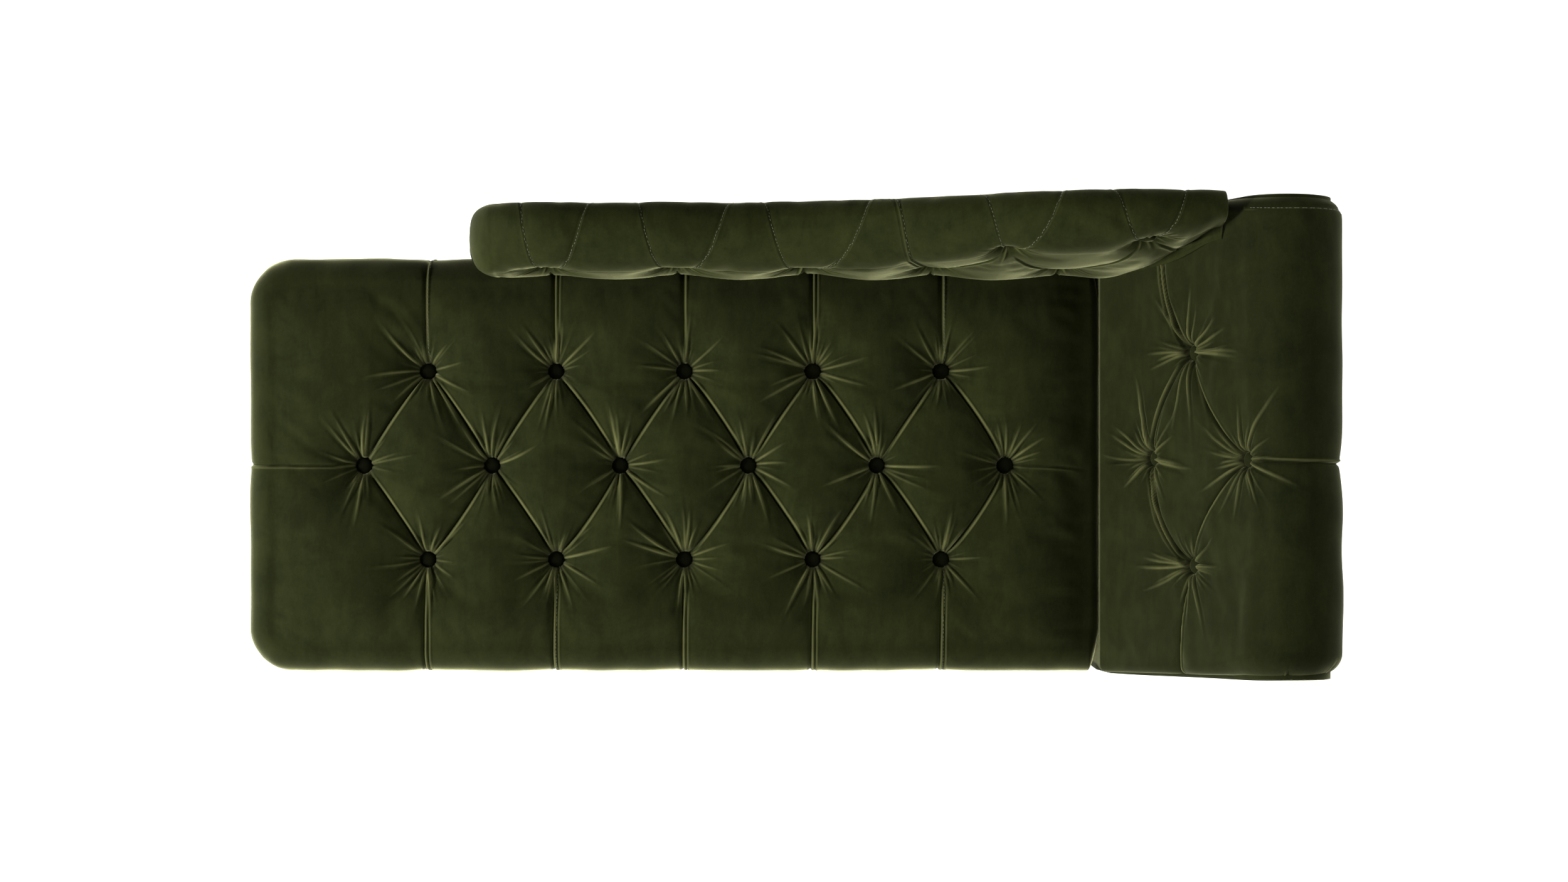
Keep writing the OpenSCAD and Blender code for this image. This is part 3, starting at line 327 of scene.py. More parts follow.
def weave_look(name, light, dark, threads, roughness=0.9):
    """Plain weave: two sets of bands at right angles, raised in turn."""
    look = Look(name, Roughness=roughness)
    where = look.place()
    across = look.node("ShaderNodeTexWave", {"bands_direction": "X"}, Vector=where, Scale=threads)
    along = look.node("ShaderNodeTexWave", {"bands_direction": "Y"}, Vector=where, Scale=threads)
    check = Num(look, across.outputs[1]) * 0.5 + Num(look, along.outputs[1]) * 0.5
    fuzz = look.noise(700, 2, 0.6)
    look.colour(look.blend(look.spread(check * 0.7 + fuzz * 0.3, 0.3, 0.7), dark, light))
    look.bump(check, 0.4 * MM, 0.6)
    return look.material


def felt_look():
    look = Look("felt_pad", Roughness=0.95)
    flecks = look.noise(260, 4, 0.8)
    look.colour(look.blend(look.spread(flecks, 0.35, 0.65), (0.13, 0.12, 0.11), (0.38, 0.36, 0.33)))
    look.bump(flecks, 0.8 * MM, 0.5)
    return look.material


def card_look():
    look = Look("card_tube", Roughness=0.85)
    fibres = look.noise(380, 4, 0.7, (1, 0.2, 1))
    look.colour(look.blend(fibres, (0.34, 0.23, 0.12), (0.48, 0.35, 0.20)))
    look.bump(fibres, 0.2 * MM, 0.3)
    return look.material


def slot_looks():
    """One material for each slot of the record."""
    leg = tuple(colours().leg)
    return {
        "velvet": velvet_look("green_velvet"),
        "stained_wood": wood_look("stained_hardwood", tone(leg, 1.5), tone(leg, 0.5), 0.36, 0.12),
        "frame_wood": wood_look("frame_hardwood", (0.42, 0.28, 0.14), (0.26, 0.16, 0.075), 0.62, 0.0),
        "steel": steel_look(),
        "foam": foam_look(),
        "felt": felt_look(),
        "black_cloth": weave_look("black_lining", (0.030, 0.030, 0.030), (0.010, 0.010, 0.010), 260),
        "jute": weave_look("jute_webbing", (0.44, 0.31, 0.16), (0.22, 0.14, 0.06), 150),
        "card": card_look(),
    }


# Surfaces
def smooth(t):
    """0 to 1 with level ends."""
    t = np.clip(t, 0, 1)
    return t * t * (3 - 2 * t)


def normals(points):
    """Unit normals of a grid of points, by the cross product of its two central differences."""
    along_u, along_v = np.gradient(points, axis=0), np.gradient(points, axis=1)
    n = np.cross(along_u, along_v)
    return n / np.maximum(np.linalg.norm(n, axis=2, keepdims=True), 1e-12)


def make_mesh(name, points, faces, attributes=None):
    """Puts arrays of corners and of faces, which may mix quads and triangles, into a new smooth object."""
    mesh = bpy.data.meshes.new(name)
    mesh.vertices.add(len(points))
    mesh.vertices.foreach_set("co", np.ascontiguousarray(points, np.float32).ravel())
    corners = np.concatenate([f.ravel() for f in faces]).astype(np.int32)
    counts = np.concatenate([np.full(len(f), f.shape[1]) for f in faces])
    starts = np.concatenate([[0], np.cumsum(counts)[:-1]]).astype(np.int32)
    mesh.loops.add(len(corners))
    mesh.loops.foreach_set("vertex_index", corners)
    mesh.polygons.add(len(counts))
    mesh.polygons.foreach_set("loop_start", starts)
    mesh.update(calc_edges=True)
    mesh.polygons.foreach_set("use_smooth", np.ones(len(counts), bool))
    for key, values in (attributes or {}).items():
        layer = mesh.attributes.new(key, "FLOAT", "POINT")
        layer.data.foreach_set("value", np.ascontiguousarray(values, np.float32).ravel())
    made = bpy.data.objects.new(name, mesh)
    bpy.context.collection.objects.link(made)
    return made


def grid_quads(nu, nv, closed=False):
    """Faces of a grid whose point (i, j) has the number i * nv + j. A closed one joins the ends of each
    row."""
    i = np.arange(nu - 1)[:, None]
    j = np.arange(nv if closed else nv - 1)[None, :]
    after = (j + 1) % nv
    corners = np.broadcast_arrays(i * nv + j, (i + 1) * nv + j, (i + 1) * nv + after, i * nv + after)
    return np.stack([c.ravel() for c in corners], 1)


def fan(ring, middle):
    """Triangles from a ring of points to one in its middle."""
    return np.stack([ring, np.roll(ring, -1), np.full(len(ring), middle)], 1)


def tube(rings, *middles):
    """Points and faces of rings joined in a row, each end closed by a fan to its middle."""
    nu, nv = rings.shape[:2]
    middles = middles or (rings[0].mean(0), rings[-1].mean(0))
    first, last = np.arange(nv), np.arange(nv) + (nu - 1) * nv
    faces = [grid_quads(nu, nv, closed=True), fan(first, nu * nv), fan(last, nu * nv + 1)]
    return np.concatenate([rings.reshape(-1, 3), middles]), faces


def run_along(path):
    """Distance run at each point of a path."""
    return np.concatenate([[0], np.cumsum(np.linalg.norm(np.diff(path, axis=0), axis=1))])


def finish_piece(made, material, slot, *nodes, fill=None):
    """Turns the faces of a closed piece outwards, gives it its material and its body, and hides the nodes that
    it stands for. The slot is not used."""
    shell = bmesh.new()
    shell.from_mesh(made.data)
    bmesh.ops.recalc_face_normals(shell, faces=shell.faces)
    shell.to_mesh(made.data)
    shell.free()
    made.data.materials.append(bpy.data.materials[material])
    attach(made, "root")
    if nodes:
        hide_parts(*nodes)
    return made


# Buttoned padding
BUTTON_RADIUS, BUTTON_HEIGHT = 12.4 * MM, 9 * MM
# A pleat's path, the side of its lip (1 left, -1 right), its strength, whether a second fold runs beside
# it, the share of its length over which it fades, whether it is stitched, and the strength of its valley.
Pleat = namedtuple("Pleat", "path side weight double fade stitched dip",
                   defaults=(1, 1.0, False, 0.0, False, 1.0))
FOLD_WIDTH, SECOND_FOLD_WIDTH, VALLEY_WIDTH = 1.9 * MM, 1.5 * MM, 21 * MM
LIP_WIDTH, LIP_HEIGHT, LIP_AT = 1.9 * MM, 2.6 * MM, 4.6 * MM
DOUBLE_LIP_AT, SECOND_FOLD_AT, SECOND_LIP_AT = 3.4 * MM, 6.6 * MM, 9.8 * MM
PLEAT_REACH = 70 * MM


def bowed(a, b, bow=0.0, n=13):
    """Arc from a to b whose middle stands off by bow to the left of the way: a straight line plus bow times
    four t (1 - t) across it."""
    a, b = np.array(a, float), np.array(b, float)
    t = np.linspace(0, 1, n)[:, None]
    way = (b - a) / np.linalg.norm(b - a)
    return a + t * (b - a) + 4 * bow * t * (1 - t) * np.array([-way[1], way[0]])


def beside(u, v, path):
    """Distance from each point to a path, signed by the side that it lies on, and the share of the way
    along."""
    run = run_along(path)
    steps = np.diff(run)
    best = np.full(u.shape, 9.0)
    along = np.zeros(u.shape)
    for k, (a, b) in enumerate(zip(path[:-1], path[1:])):
        d = (b - a) / steps[k]
        t = np.clip((u - a[0]) * d[0] + (v - a[1]) * d[1], 0, steps[k])
        du, dv = u - a[0] - t * d[0], v - a[1] - t * d[1]
        dist = np.hypot(du, dv)
        side = np.where(d[0] * dv - d[1] * du < 0, -1.0, 1.0)
        nearer = dist < np.abs(best)
        best = np.where(nearer, dist * side, best)
        along = np.where(nearer, (run[k] + t) / run[-1], along)
    return best, along


def pleated(u, v, pleats):
    """Depth of the pleats, of their sharp folds alone and share of their raised lips: each pleat is a sharp
    fold in a soft valley, with a lip on one side of the fold."""
    s = sizes()
    fold, valley, lip = np.zeros(u.shape), np.zeros(u.shape), np.zeros(u.shape)

    def raise_to(total, near, value):
        total[near] = np.maximum(total[near], value)

    for p in pleats:
        outside = [np.maximum(0, np.maximum(w.min() - x, x - w.max())) for x, w in zip((u, v), p.path.T)]
        near = np.hypot(*outside) < PLEAT_REACH
        d, along = beside(u[near], v[near], p.path)
        d = d * p.side
        weight = p.weight * (1 - smooth((along - 1 + p.fade) / max(p.fade, 1e-6)) if p.fade else 1.0)
        lip_at = DOUBLE_LIP_AT if p.double else LIP_AT
        raise_to(fold, near, weight * s.crease * np.exp(-np.abs(d) / FOLD_WIDTH))
        raise_to(valley, near, weight * p.dip * s.valley * np.exp(-(np.abs(d) / VALLEY_WIDTH) ** 1.15))
        raise_to(lip, near, weight * np.exp(-((d - lip_at) / LIP_WIDTH) ** 2))
        if p.double:
            second = np.exp(-np.abs(d - SECOND_FOLD_AT) / SECOND_FOLD_WIDTH)
            raise_to(fold, near, weight * 0.55 * s.crease * second)
            raise_to(lip, near, weight * 0.6 * np.exp(-((d - SECOND_LIP_AT) / LIP_WIDTH) ** 2))
    return fold + valley - lip * LIP_HEIGHT, fold, lip


def nearest_tuft(u, v, tufts):
    """Distance to the nearest tuft."""
    return np.min([np.hypot(u - t[0], v - t[1]) for t in tufts], axis=0)


def sunk(u, v, tufts, depth, rim=11 * MM):
    """Depth of the pits: a steep funnel inside a wide soft one, both level under the button."""
    past_rim = np.maximum(0, nearest_tuft(u, v, tufts) - rim)
    funnel, bowl = 7 * MM, 40 * MM
    return depth * (0.44 * np.exp(-past_rim / funnel) + 0.56 * np.exp(-(past_rim / bowl) ** 1.2))


def under_button(dent, u, v, tufts, depth):
    """Holds the fabric level where a button lies on it."""
    return np.where(nearest_tuft(u, v, tufts) < BUTTON_RADIUS + 0.2 * MM, depth, dent)


def gathered(u, v, tufts, rng, count=28, reach=135 * MM, crowding=0.3, rim=10 * MM):
    """Height of the gathers and share of their crests: ridges that leave each button like rays, each with a
    furrow beside it. They widen and fade along their length, and the pit's rim puckers where they meet the
    button. They crowd across v where crowding is over 0, and across u where it is under 0."""
    total, painted_highlight = np.zeros(u.shape), np.zeros(u.shape)
    root_width, widening, furrow, furrow_at, flattening = 1.5 * MM, 0.02, 0.6, 1.8, 140 * MM
    for t in tufts:
        near = np.hypot(u - t[0], v - t[1]) < reach * 1.1
        du, dv = u[near] - t[0], v[near] - t[1]
        r, angle = np.hypot(du, dv), np.arctan2(dv, du)
        jitter, turned = rng.uniform(-0.42, 0.42, count), rng.uniform(0, 1)
        bearings = (np.arange(count) + jitter) * 2 * np.pi / count + turned
        bearings += crowding * np.sin(2 * bearings)
        share = rng.uniform(0, 1, count)
        lengths = (0.3 + 0.7 * share ** 1.3) * reach
        heights = 0.3 + 0.7 * rng.uniform(0, 1, count) * np.sqrt(share)
        bends, flips = rng.normal(0, 0.9, count), rng.choice([-1, 1], count)
        here, top = np.zeros(r.shape), np.zeros(r.shape)
        for bearing, length, height, bend, flip in zip(bearings, lengths, heights, bends, flips):
            off = angle - bearing - bend * r
            across = r * np.sin(off) * flip / (root_width + widening * r)
            rise, fall = smooth((r - rim) / (5 * MM)), 1 - smooth((r - 0.1 * length) / (0.9 * length))
            fade = height * rise * fall * (np.cos(off) > 0)
            ridge = np.exp(-across ** 2)
            here += (ridge - furrow * np.exp(-(across - furrow_at) ** 2)) * fade / (1 + r / flattening)
            top = np.maximum(top, ridge * fade)
        ruffle = np.cos(angle * count * 0.7 + 3 * np.sin(angle + t[0] * 40))
        pucker = ruffle * np.exp(-np.maximum(0, r - rim) / (6 * MM))
        total[near] += here + 0.2 * pucker * (r > rim * 0.9)
        # The ridge tops become the mask of the velvet's painted highlight.
        painted_highlight[near] = np.maximum(painted_highlight[near], top)
    return total * sizes().wrinkle, painted_highlight


def painted_light_marks(pit, fold, lip, painted_highlight):
    """Painted shade at each point of the pile, from its pit and fold, and share of painted highlight from
    the ridge tops and pleat lips.
    """
    calm = 1 - smooth(pit * 1.6)
    return {"painted_shade": np.clip(pit * 0.85 + fold / sizes().crease * 0.7 * calm, 0, 1),
            "painted_highlight": np.clip(np.maximum(painted_highlight, lip * 0.8 * calm), 0, 1)}


def rippled(u, v, rng, height, count=16):
    """Slow unevenness of the stuffing: a sum of sine waves with random lengths and directions."""
    total = np.zeros(u.shape)
    for _ in range(count):
        wavelength, heading = rng.uniform(60, 240) * MM, rng.uniform(0, np.pi)
        phase = rng.uniform(0, 2 * np.pi)
        total += np.sin((u * np.cos(heading) + v * np.sin(heading)) * 2 * np.pi / wavelength + phase)
    return total * height / math.sqrt(count)


def lines(*stretches):
    """Grid lines through stretches of (start, end, spacing), each end met exactly."""
    parts = [np.linspace(a, b, max(2, round(abs(b - a) / step) + 1))[:-1] for a, b, step in stretches]
    return np.concatenate([*parts, [stretches[-1][1]]])


def stitch_row(name, uu, vv, points, pleats, offset=4.5 * MM, pitch=6 * MM):
    """Short raised threads beside the stitched pleats of a grid surface, each a six-sided spindle that
    follows the surface: its radius is the thread's times the root of the sine of half a turn along its
    length."""
    centres, ways, ups = [], [], []
    n = normals(points)
    for pleat in (p for p in pleats if p.stitched):
        run = run_along(pleat.path)
        at = np.arange(pitch, run[-1] - pitch, pitch)
        u, v = (np.interp(at, run, w) for w in pleat.path.T)
        du, dv = np.gradient(u), np.gradient(v)
        size = np.hypot(du, dv)
        u, v = u - dv / size * offset * pleat.side, v + du / size * offset * pleat.side
        i = np.clip(np.searchsorted(uu[:, 0], u), 1, len(uu) - 2)
        j = np.clip(np.abs(vv[i] - v[:, None]).argmin(1), 1, vv.shape[1] - 2)
        centres.append(points[i, j])
        ways.append(np.gradient(points[i, j], axis=0))
        ups.append(n[i, j])
    centre, way, up = (np.concatenate(x)[:, None, None] for x in (centres, ways, ups))
    way /= np.maximum(np.linalg.norm(way, axis=-1, keepdims=True), 1e-9)
    side = np.cross(way, up)
    t = np.linspace(0, 1, 6)[:, None, None]
    turn = (np.arange(6) * np.pi / 3)[:, None]
    radius = 0.42 * MM * np.sqrt(np.sin(np.pi * t) + 0.02)
    spindles = (centre + (t - 0.5) * pitch * 0.7 * way + radius * np.cos(turn) * side
                + (radius * np.sin(turn) + 0.2 * MM) * up)
    quads = grid_quads(6, 6, closed=True)
    caps = [np.arange(6)[None], (np.arange(6) + 30)[None]]
    shift = np.arange(len(centre))[:, None, None] * 36
    faces = [(f[None] + shift).reshape(-1, f.shape[1]) for f in (quads, *caps)]
    finish_piece(make_mesh(name, spindles.reshape(-1, 3), faces), "sewing_thread", "velvet")


def buttons(name, node, facing, material):
    """Covered buttons. Each is a dome turned round its axis, with folds that grow towards the rim: the radius
    is the button's times the sine of the polar angle, plus a small ripple of many waves round the rim."""
    rim = math.pi * 0.62
    t = np.linspace(0.04, 1, 18)[:, None] * rim
    a = np.arange(60)[None, :] * 2 * np.pi / 60
    fold = 1 + 0.022 * np.sin(17 * a + 2 * np.sin(3 * a)) * smooth((t - 0.7) / 0.8)
    r = BUTTON_RADIUS * np.sin(t) ** 0.85 * fold
    z = BUTTON_HEIGHT * ((np.cos(t) - math.cos(rim)) / (1 - math.cos(rim)) - 0.5) + 0 * a
    verts, quads, tris = [], [], []
    for place in button_places(node):
        axis = facing(place)
        side = np.cross(axis, [0.0, 1.0, 0.0] if abs(axis[1]) < 0.9 else [1.0, 0.0, 0.0])
        side /= np.linalg.norm(side)
        other = np.cross(axis, side)
        across, along = (r * np.cos(a))[..., None], (r * np.sin(a))[..., None]
        dome = place + across * side + along * other + z[..., None] * axis
        half = axis * BUTTON_HEIGHT / 2
        points, (sides, *ends) = tube(dome, place + half, place - half)
        base = len(verts) * len(points)
        quads.append(sides + base)
        tris += [end + base for end in ends]
        verts.append(points)
    made = make_mesh(name, np.concatenate(verts), [np.concatenate(quads), np.concatenate(tris)])
    finish_piece(made, material, "velvet", node)


CLOTH_FRAMES, CLOTH_QUALITY, CLOTH_BENDING = 20, 5, 1.5


def carried(coarse, fine):
    """Matrix that carries values at coarse grid lines to fine ones along Catmull-Rom splines."""
    at = np.interp(fine, coarse, np.arange(len(coarse)))
    k = np.clip(np.floor(at).astype(int), 0, len(coarse) - 2)
    t = at - k
    shares = (2 * t ** 2 - t - t ** 3, 2 - 5 * t ** 2 + 3 * t ** 3,
              t + 4 * t ** 2 - 3 * t ** 3, t ** 3 - t ** 2)
    matrix = np.zeros((len(fine), len(coarse)))
    for shift, share in enumerate(shares):
        np.add.at(matrix, (np.arange(len(fine)), np.clip(k + shift - 1, 0, len(coarse) - 1)), share / 2)
    return matrix


def blown_up(points, held):
    """How far Blender's cloth moves a grid of fabric that is held at some points and blown up from below. The
    trial piece is removed again."""
    s = sizes()
    trial = make_mesh("cloth_trial", points.reshape(-1, 3), [grid_quads(*held.shape)])
    trial.vertex_groups.new(name="held").add(np.flatnonzero(held.ravel()).tolist(), 1.0, "REPLACE")
    cloth = trial.modifiers.new("cloth", "CLOTH")
    cloth.collision_settings.use_collision = False
    settings = cloth.settings
    settings.quality = CLOTH_QUALITY
    settings.use_pressure = True
    settings.uniform_pressure_force = s.pressure
    settings.shrink_min = -s.slack
    settings.bending_stiffness = CLOTH_BENDING
    settings.vertex_group_mass = "held"
    settings.effector_weights.gravity = 0
    for moment in range(1, CLOTH_FRAMES + 1):
        bpy.context.scene.frame_set(moment)
    after = np.empty(points.size, np.float32)
    trial.evaluated_get(bpy.context.evaluated_depsgraph_get()).data.vertices.foreach_get("co", after)
    bpy.context.scene.frame_set(1)
    mesh = trial.data
    bpy.data.objects.remove(trial)
    bpy.data.meshes.remove(mesh)
    return after.reshape(points.shape) - points


def swelling(points, held, stride=4):
    """The move of a cloth on every fourth line of a grid, cut off at the swell, evened out by a running
    mean of three and carried to all the lines."""
    rows, columns = (np.unique(np.append(np.arange(0, n, stride), n - 1)) for n in held.shape)
    move = blown_up(points[rows][:, columns], held[rows][:, columns])
    length = np.linalg.norm(move, axis=2, keepdims=True)
    move = move * np.minimum(1, sizes().swell / np.maximum(length, 1e-9))
    for axis in (0, 1):
        move = (np.roll(move, 1, axis) + 2 * move + np.roll(move, -1, axis)) / 4
    across, along = (carried(k, np.arange(n)) for k, n in zip((rows, columns), held.shape))
    return np.einsum("ia,abk,jb->ijk", across, move, along, optimize=True)


# Seat
def seat_layout():
    """Tufts and pleats of the seat in plan."""
    places = button_places("seat_buttons")
    rows = sorted(set(np.round(places[:, 1], 2)))
    c_row, b_row, a_row = (places[np.abs(places[:, 1] - y) < 20 * MM][:, :2] for y in rows)
    over_edge = 130 * MM
    front, rear = low("seat_cover")[1] - over_edge, high("seat_cover")[1] + over_edge
    left, right = low("seat_cover")[0] - over_edge, high("seat_cover")[0]
    pleats = []
    for k, t in enumerate(a_row):
        pleats.append(Pleat(bowed(b_row[k], t, 3 * MM), -1, 1.0))
        pleats.append(Pleat(bowed(t, b_row[k + 1], 5 * MM), 1, 1.0))
        to_rear = bowed(t, (t[0] + 3 * MM, rear), 2 * MM)
        pleats.append(Pleat(to_rear, -1, 0.7, k in (1, 3), 0.0, k in (0, 4), 0.4))
    for k, t in enumerate(c_row):
        pleats.append(Pleat(bowed(b_row[k], t, 4 * MM), 1, 1.0))
        pleats.append(Pleat(bowed(t, b_row[k + 1], -6 * MM), -1, 1.0))
        to_front = bowed(t, (t[0] - 2 * MM, front), -2 * MM)
        pleats.append(Pleat(to_front, 1, 0.75, True, 0.0, k in (1, 4), 0.4))
    pleats.append(Pleat(bowed(b_row[0], (left, b_row[0][1] + 3 * MM)), 1, 0.6, dip=0.5))
    to_head = bowed(b_row[-1], (right - 10 * MM, b_row[-1][1] - 8 * MM), 3 * MM)
    pleats.append(Pleat(to_head, -1, 0.55, fade=0.5))
    return places[:, :2], pleats


def rolled_edge(m, corner, edge, bulge):
    """Reach and fall of the cover past the flat top: level, then a quarter circle, then down the side, which
    swells a little and draws in at its foot."""
    level = corner - edge
    angle = np.clip((m - level) / edge, 0, np.pi / 2)
    down = np.maximum(0, m - level - edge * np.pi / 2)
    drop = 92 * MM
    side = np.clip(down / drop, 0, 1)
    swollen = bulge * (np.sin(np.pi * side) * 0.6 - side ** 2)
    return np.where(m < level, m, level + edge * np.sin(angle)) + swollen, edge * (1 - np.cos(angle)) + down


def seat_shell(uu, vv):
    """The seat's surface before it is buttoned, how far each point lies past the flat top and how high it
    is."""
    s = sizes()
    lo, hi = low("seat_cover"), high("seat_cover")
    core_lo, core_hi, foot_run, head, head_run = seat_runs()
    cu, cv = np.clip(uu, core_lo[0], core_hi[0]), np.clip(vv, core_lo[1], core_hi[1])
    eu, ev = np.abs(uu - cu), np.abs(vv - cv)
    at_head = uu > core_hi[0]
    m = np.maximum(eu / np.where(at_head, head_run, foot_run), ev / foot_run)
    bearing = np.arctan2(ev, eu)
    bulge, head_bulge = 7 * MM, 1 * MM
    reach, fall = rolled_edge(m * foot_run, s.corner, s.edge, bulge)
    reach_head, fall_head = rolled_edge(m * head_run, head, head, head_bulge)
    share = np.where(at_head, np.cos(bearing) ** 2, 0.0)
    fall = fall * (1 - share) + fall_head * share
    x = cu + np.sign(uu - cu) * np.cos(bearing) * np.where(at_head, reach_head, reach)
    y = cv + np.sign(vv - cv) * np.sin(bearing) * reach
    half, mid = (hi - lo) / 2, (hi + lo) / 2
    crown = s.crown * (np.abs((x - mid[0]) / half[0]) ** 4 + np.abs((y - mid[1]) / half[1]) ** 4) / 2
    arm_slope, arm_fall, back_slope, back_fall = 100 * MM, 13 * MM, 70 * MM, 5 * MM
    at_arm, at_back = smooth(1 + (x - hi[0]) / arm_slope), smooth(1 + (y - hi[1]) / back_slope)
    crown = crown + arm_fall * at_arm ** 1.5 + back_fall * at_back
    z = np.maximum(hi[2] - crown * (1 - np.clip(m, 0, 1)) - fall, lo[2])
    return np.stack([x, y, z], 2), m * foot_run - s.corner + s.edge


def seat_runs():
    """Corners of the flat top, and lengths of fabric past it at the sides and the foot and at the head."""
    s = sizes()
    lo, hi = low("seat_cover"), high("seat_cover")
    head = 16 * MM
    foot_run = s.corner - s.edge + s.edge * np.pi / 2 + hi[2] - lo[2] - s.edge
    head_run = head * np.pi / 2 + hi[2] - lo[2] - head
    return lo[:2] + s.corner, np.array([hi[0] - head, hi[1] - s.corner]), foot_run, head, head_run


def seat_cover():
    """The seat's cover. A point of the flat pattern (u, v) keeps its place inside the core rectangle. Past it
    the distance out is laid over the rolled edge, and the pits, pleats and gathers push the result along its
    normal. The swell of a cloth held at the tufts and the pleats is added to it."""
    s = sizes()
    lo, hi = low("seat_cover"), high("seat_cover")
    core_lo, core_hi, foot_run, _, head_run = seat_runs()
    over = s.corner + 20 * MM
    u = lines((core_lo[0] - foot_run, core_lo[0] - over, 6 * MM),
              (core_lo[0] - over, core_hi[0], s.step),
              (core_hi[0], core_hi[0] + head_run, 5 * MM))
    v = lines((core_lo[1] - foot_run, core_lo[1] - over, 6 * MM),
              (core_lo[1] - over, core_hi[1] + over, s.step),
              (core_hi[1] + over, core_hi[1] + foot_run, 6 * MM))
    tufts, pleats = seat_layout()
    uu, vv = np.meshgrid(u, v, indexing="ij")
    shell, past = seat_shell(uu, vv)
    pit = sunk(uu, vv, tufts, s.tuft_depth)
    pleat, fold, lip = pleated(uu, vv, pleats)
    off_foot = smooth((shell[..., 2] - lo[2]) / (12 * MM))
    down_side = smooth((past - s.edge * np.pi / 2) / (80 * MM))
    dent = np.maximum(pit, pit * 0.6 + pleat * (1 - 0.6 * down_side)) * off_foot
    n = normals(shell)
    rim = (past > -12 * MM) | (uu > core_hi[0] - 12 * MM)
    held = (pit > 0.8 * s.tuft_depth) | (fold > 0.12 * s.crease) | rim
    move = swelling(shell - n * dent[..., None], held)
    rng = np.random.default_rng(s.seed)
    gather, painted_highlight = gathered(uu, vv, tufts, rng)
    gather = (gather + rippled(uu, vv, rng, 0.7 * MM)) * off_foot
    dent = under_button(dent - gather, uu, vv, tufts, s.tuft_depth)
    points = shell - n * dent[..., None] + move
    points[..., 2] = np.maximum(points[..., 2], lo[2])
    # Masks of painted shade in the pits and folds and of painted highlight on the ridges, kept as attributes.
    marks = painted_light_marks(pit / s.tuft_depth, fold, lip, painted_highlight)
    number = np.arange(uu.size).reshape(uu.shape)
    rim = np.concatenate([number[:-1, 0], number[-1, :-1], number[:0:-1, -1], number[0, :0:-1]])
    middle = [(hi[0] + lo[0]) / 2, (hi[1] + lo[1]) / 2, lo[2]]
    marks = {k: np.append(w, 0) for k, w in marks.items()}
    made = make_mesh("seat_velvet", np.concatenate([points.reshape(-1, 3), [middle]]),
                     [grid_quads(*uu.shape), fan(rim, uu.size)], marks)
    finish_piece(made, "green_velvet", "velvet", "seat_cover", "seat_foam", fill=0.8)
    stitch_row("seat_stitching", uu, vv, points, pleats)


# Arm
class ArmPath:
    """The arm's section in X and Z: s runs up the leaning face from the crease, then on round the scroll. The
    face is the tangent from the crease to the scroll's circle."""

    def __init__(self):
        s = sizes()
        self.crease = np.array([low("arm_cover")[0], s.crease_height])
        self.radius = s.roll
        self.middle = np.array([high("arm_cover")[0] - s.roll, high("arm_cover")[2] - s.roll])
        gap = self.middle - self.crease
        self.lean = math.atan2(gap[1], gap[0]) + math.asin(s.roll / np.linalg.norm(gap))
        self.face = math.sqrt(gap @ gap - s.roll ** 2)
        edge = high("arm_outside_panel")[0] - 4 * MM - self.middle[0]
        neck = -math.pi + math.acos(-edge / s.roll)
        self.start = math.pi / 2 + self.lean
        self.end = self.face + (self.start - neck) * s.roll

    def at(self, s, inset=0.0):
        """Points and inward directions at distances s along the path."""
        turn = self.start - np.maximum(0, s - self.face) / self.radius
        inward = -np.stack([np.cos(turn), np.sin(turn)], -1)
        uphill = np.array([math.cos(self.lean), math.sin(self.lean)])
        straight = self.crease + np.minimum(s, self.face)[..., None] * uphill
        round_part = self.middle - self.radius * inward
        points = np.where((s <= self.face)[..., None], straight, round_part)
        return points + np.asarray(inset)[..., None] * inward, inward

    def nearest(self, place, inset):
        """Distance along the path of the point whose inset lies closest to a place."""
        s = np.linspace(0, self.end, 2000)
        points, _ = self.at(s, np.full(s.shape, inset))
        return s[np.argmin(np.hypot(points[:, 0] - place[0], points[:, 1] - place[2]))]


def arm_layout(path):
    """Tufts and pleats of the arm, in distance up the path and in Y."""
    s = sizes()
    places = button_places("arm_buttons")
    tufts = np.array([[path.nearest(p, s.side_depth), p[1]] for p in places])
    order = tufts[np.argsort(tufts[:, 0])]
    bottom, top = order[0], order[-1]
    front, rear = sorted(order[1:3], key=lambda t: t[1])
    y0, y1 = low("arm_cover")[1], high("arm_cover")[1]
    turn = (rear[0] - 62 * MM, rear[1] + 150 * MM)
    seam = [(path.face + 20 * MM, y1 - 11 * MM), (path.end - 30 * MM, y1 - 22 * MM)]
    pleats = [
        Pleat(bowed(rear, turn, 14 * MM), 1, 1.0, True),
        Pleat(bowed(turn, (rear[0] - 74 * MM, y1 + 30 * MM), 2 * MM), 1, 0.8),
        Pleat(bowed(bottom, rear, 12 * MM), 1, 0.9),
        Pleat(bowed(bottom, front, -20 * MM), -1, 1.0, True),
        Pleat(bowed(rear, top, -12 * MM), 1, 0.9),
        Pleat(bowed(front, top, 14 * MM), -1, 1.0),
        Pleat(bowed(top, (path.end, top[1] - 5 * MM), -4 * MM), 1, 0.7, dip=0.5),
        Pleat(bowed(front, (front[0] - 14 * MM, y0 - 30 * MM), -6 * MM), 1, 0.9),
        Pleat(bowed(bottom, (0, bottom[1] - 6 * MM), 2 * MM), 1, 0.5, False, 0.6),
        Pleat(bowed(*seam, 3 * MM), -1, 0.35, stitched=True, dip=0.2),
    ]
    for share, reach in ((0.2, 26 * MM), (0.42, 34 * MM), (0.66, 20 * MM), (0.85, 30 * MM)):
        at = path.face + share * (path.end - path.face)
        tack = bowed((at, y0 - 20 * MM), (at + 5 * MM, y0 + reach), 1 * MM)
        pleats.append(Pleat(tack, 1, 0.6, fade=0.5, dip=0.4))
    return tufts, pleats


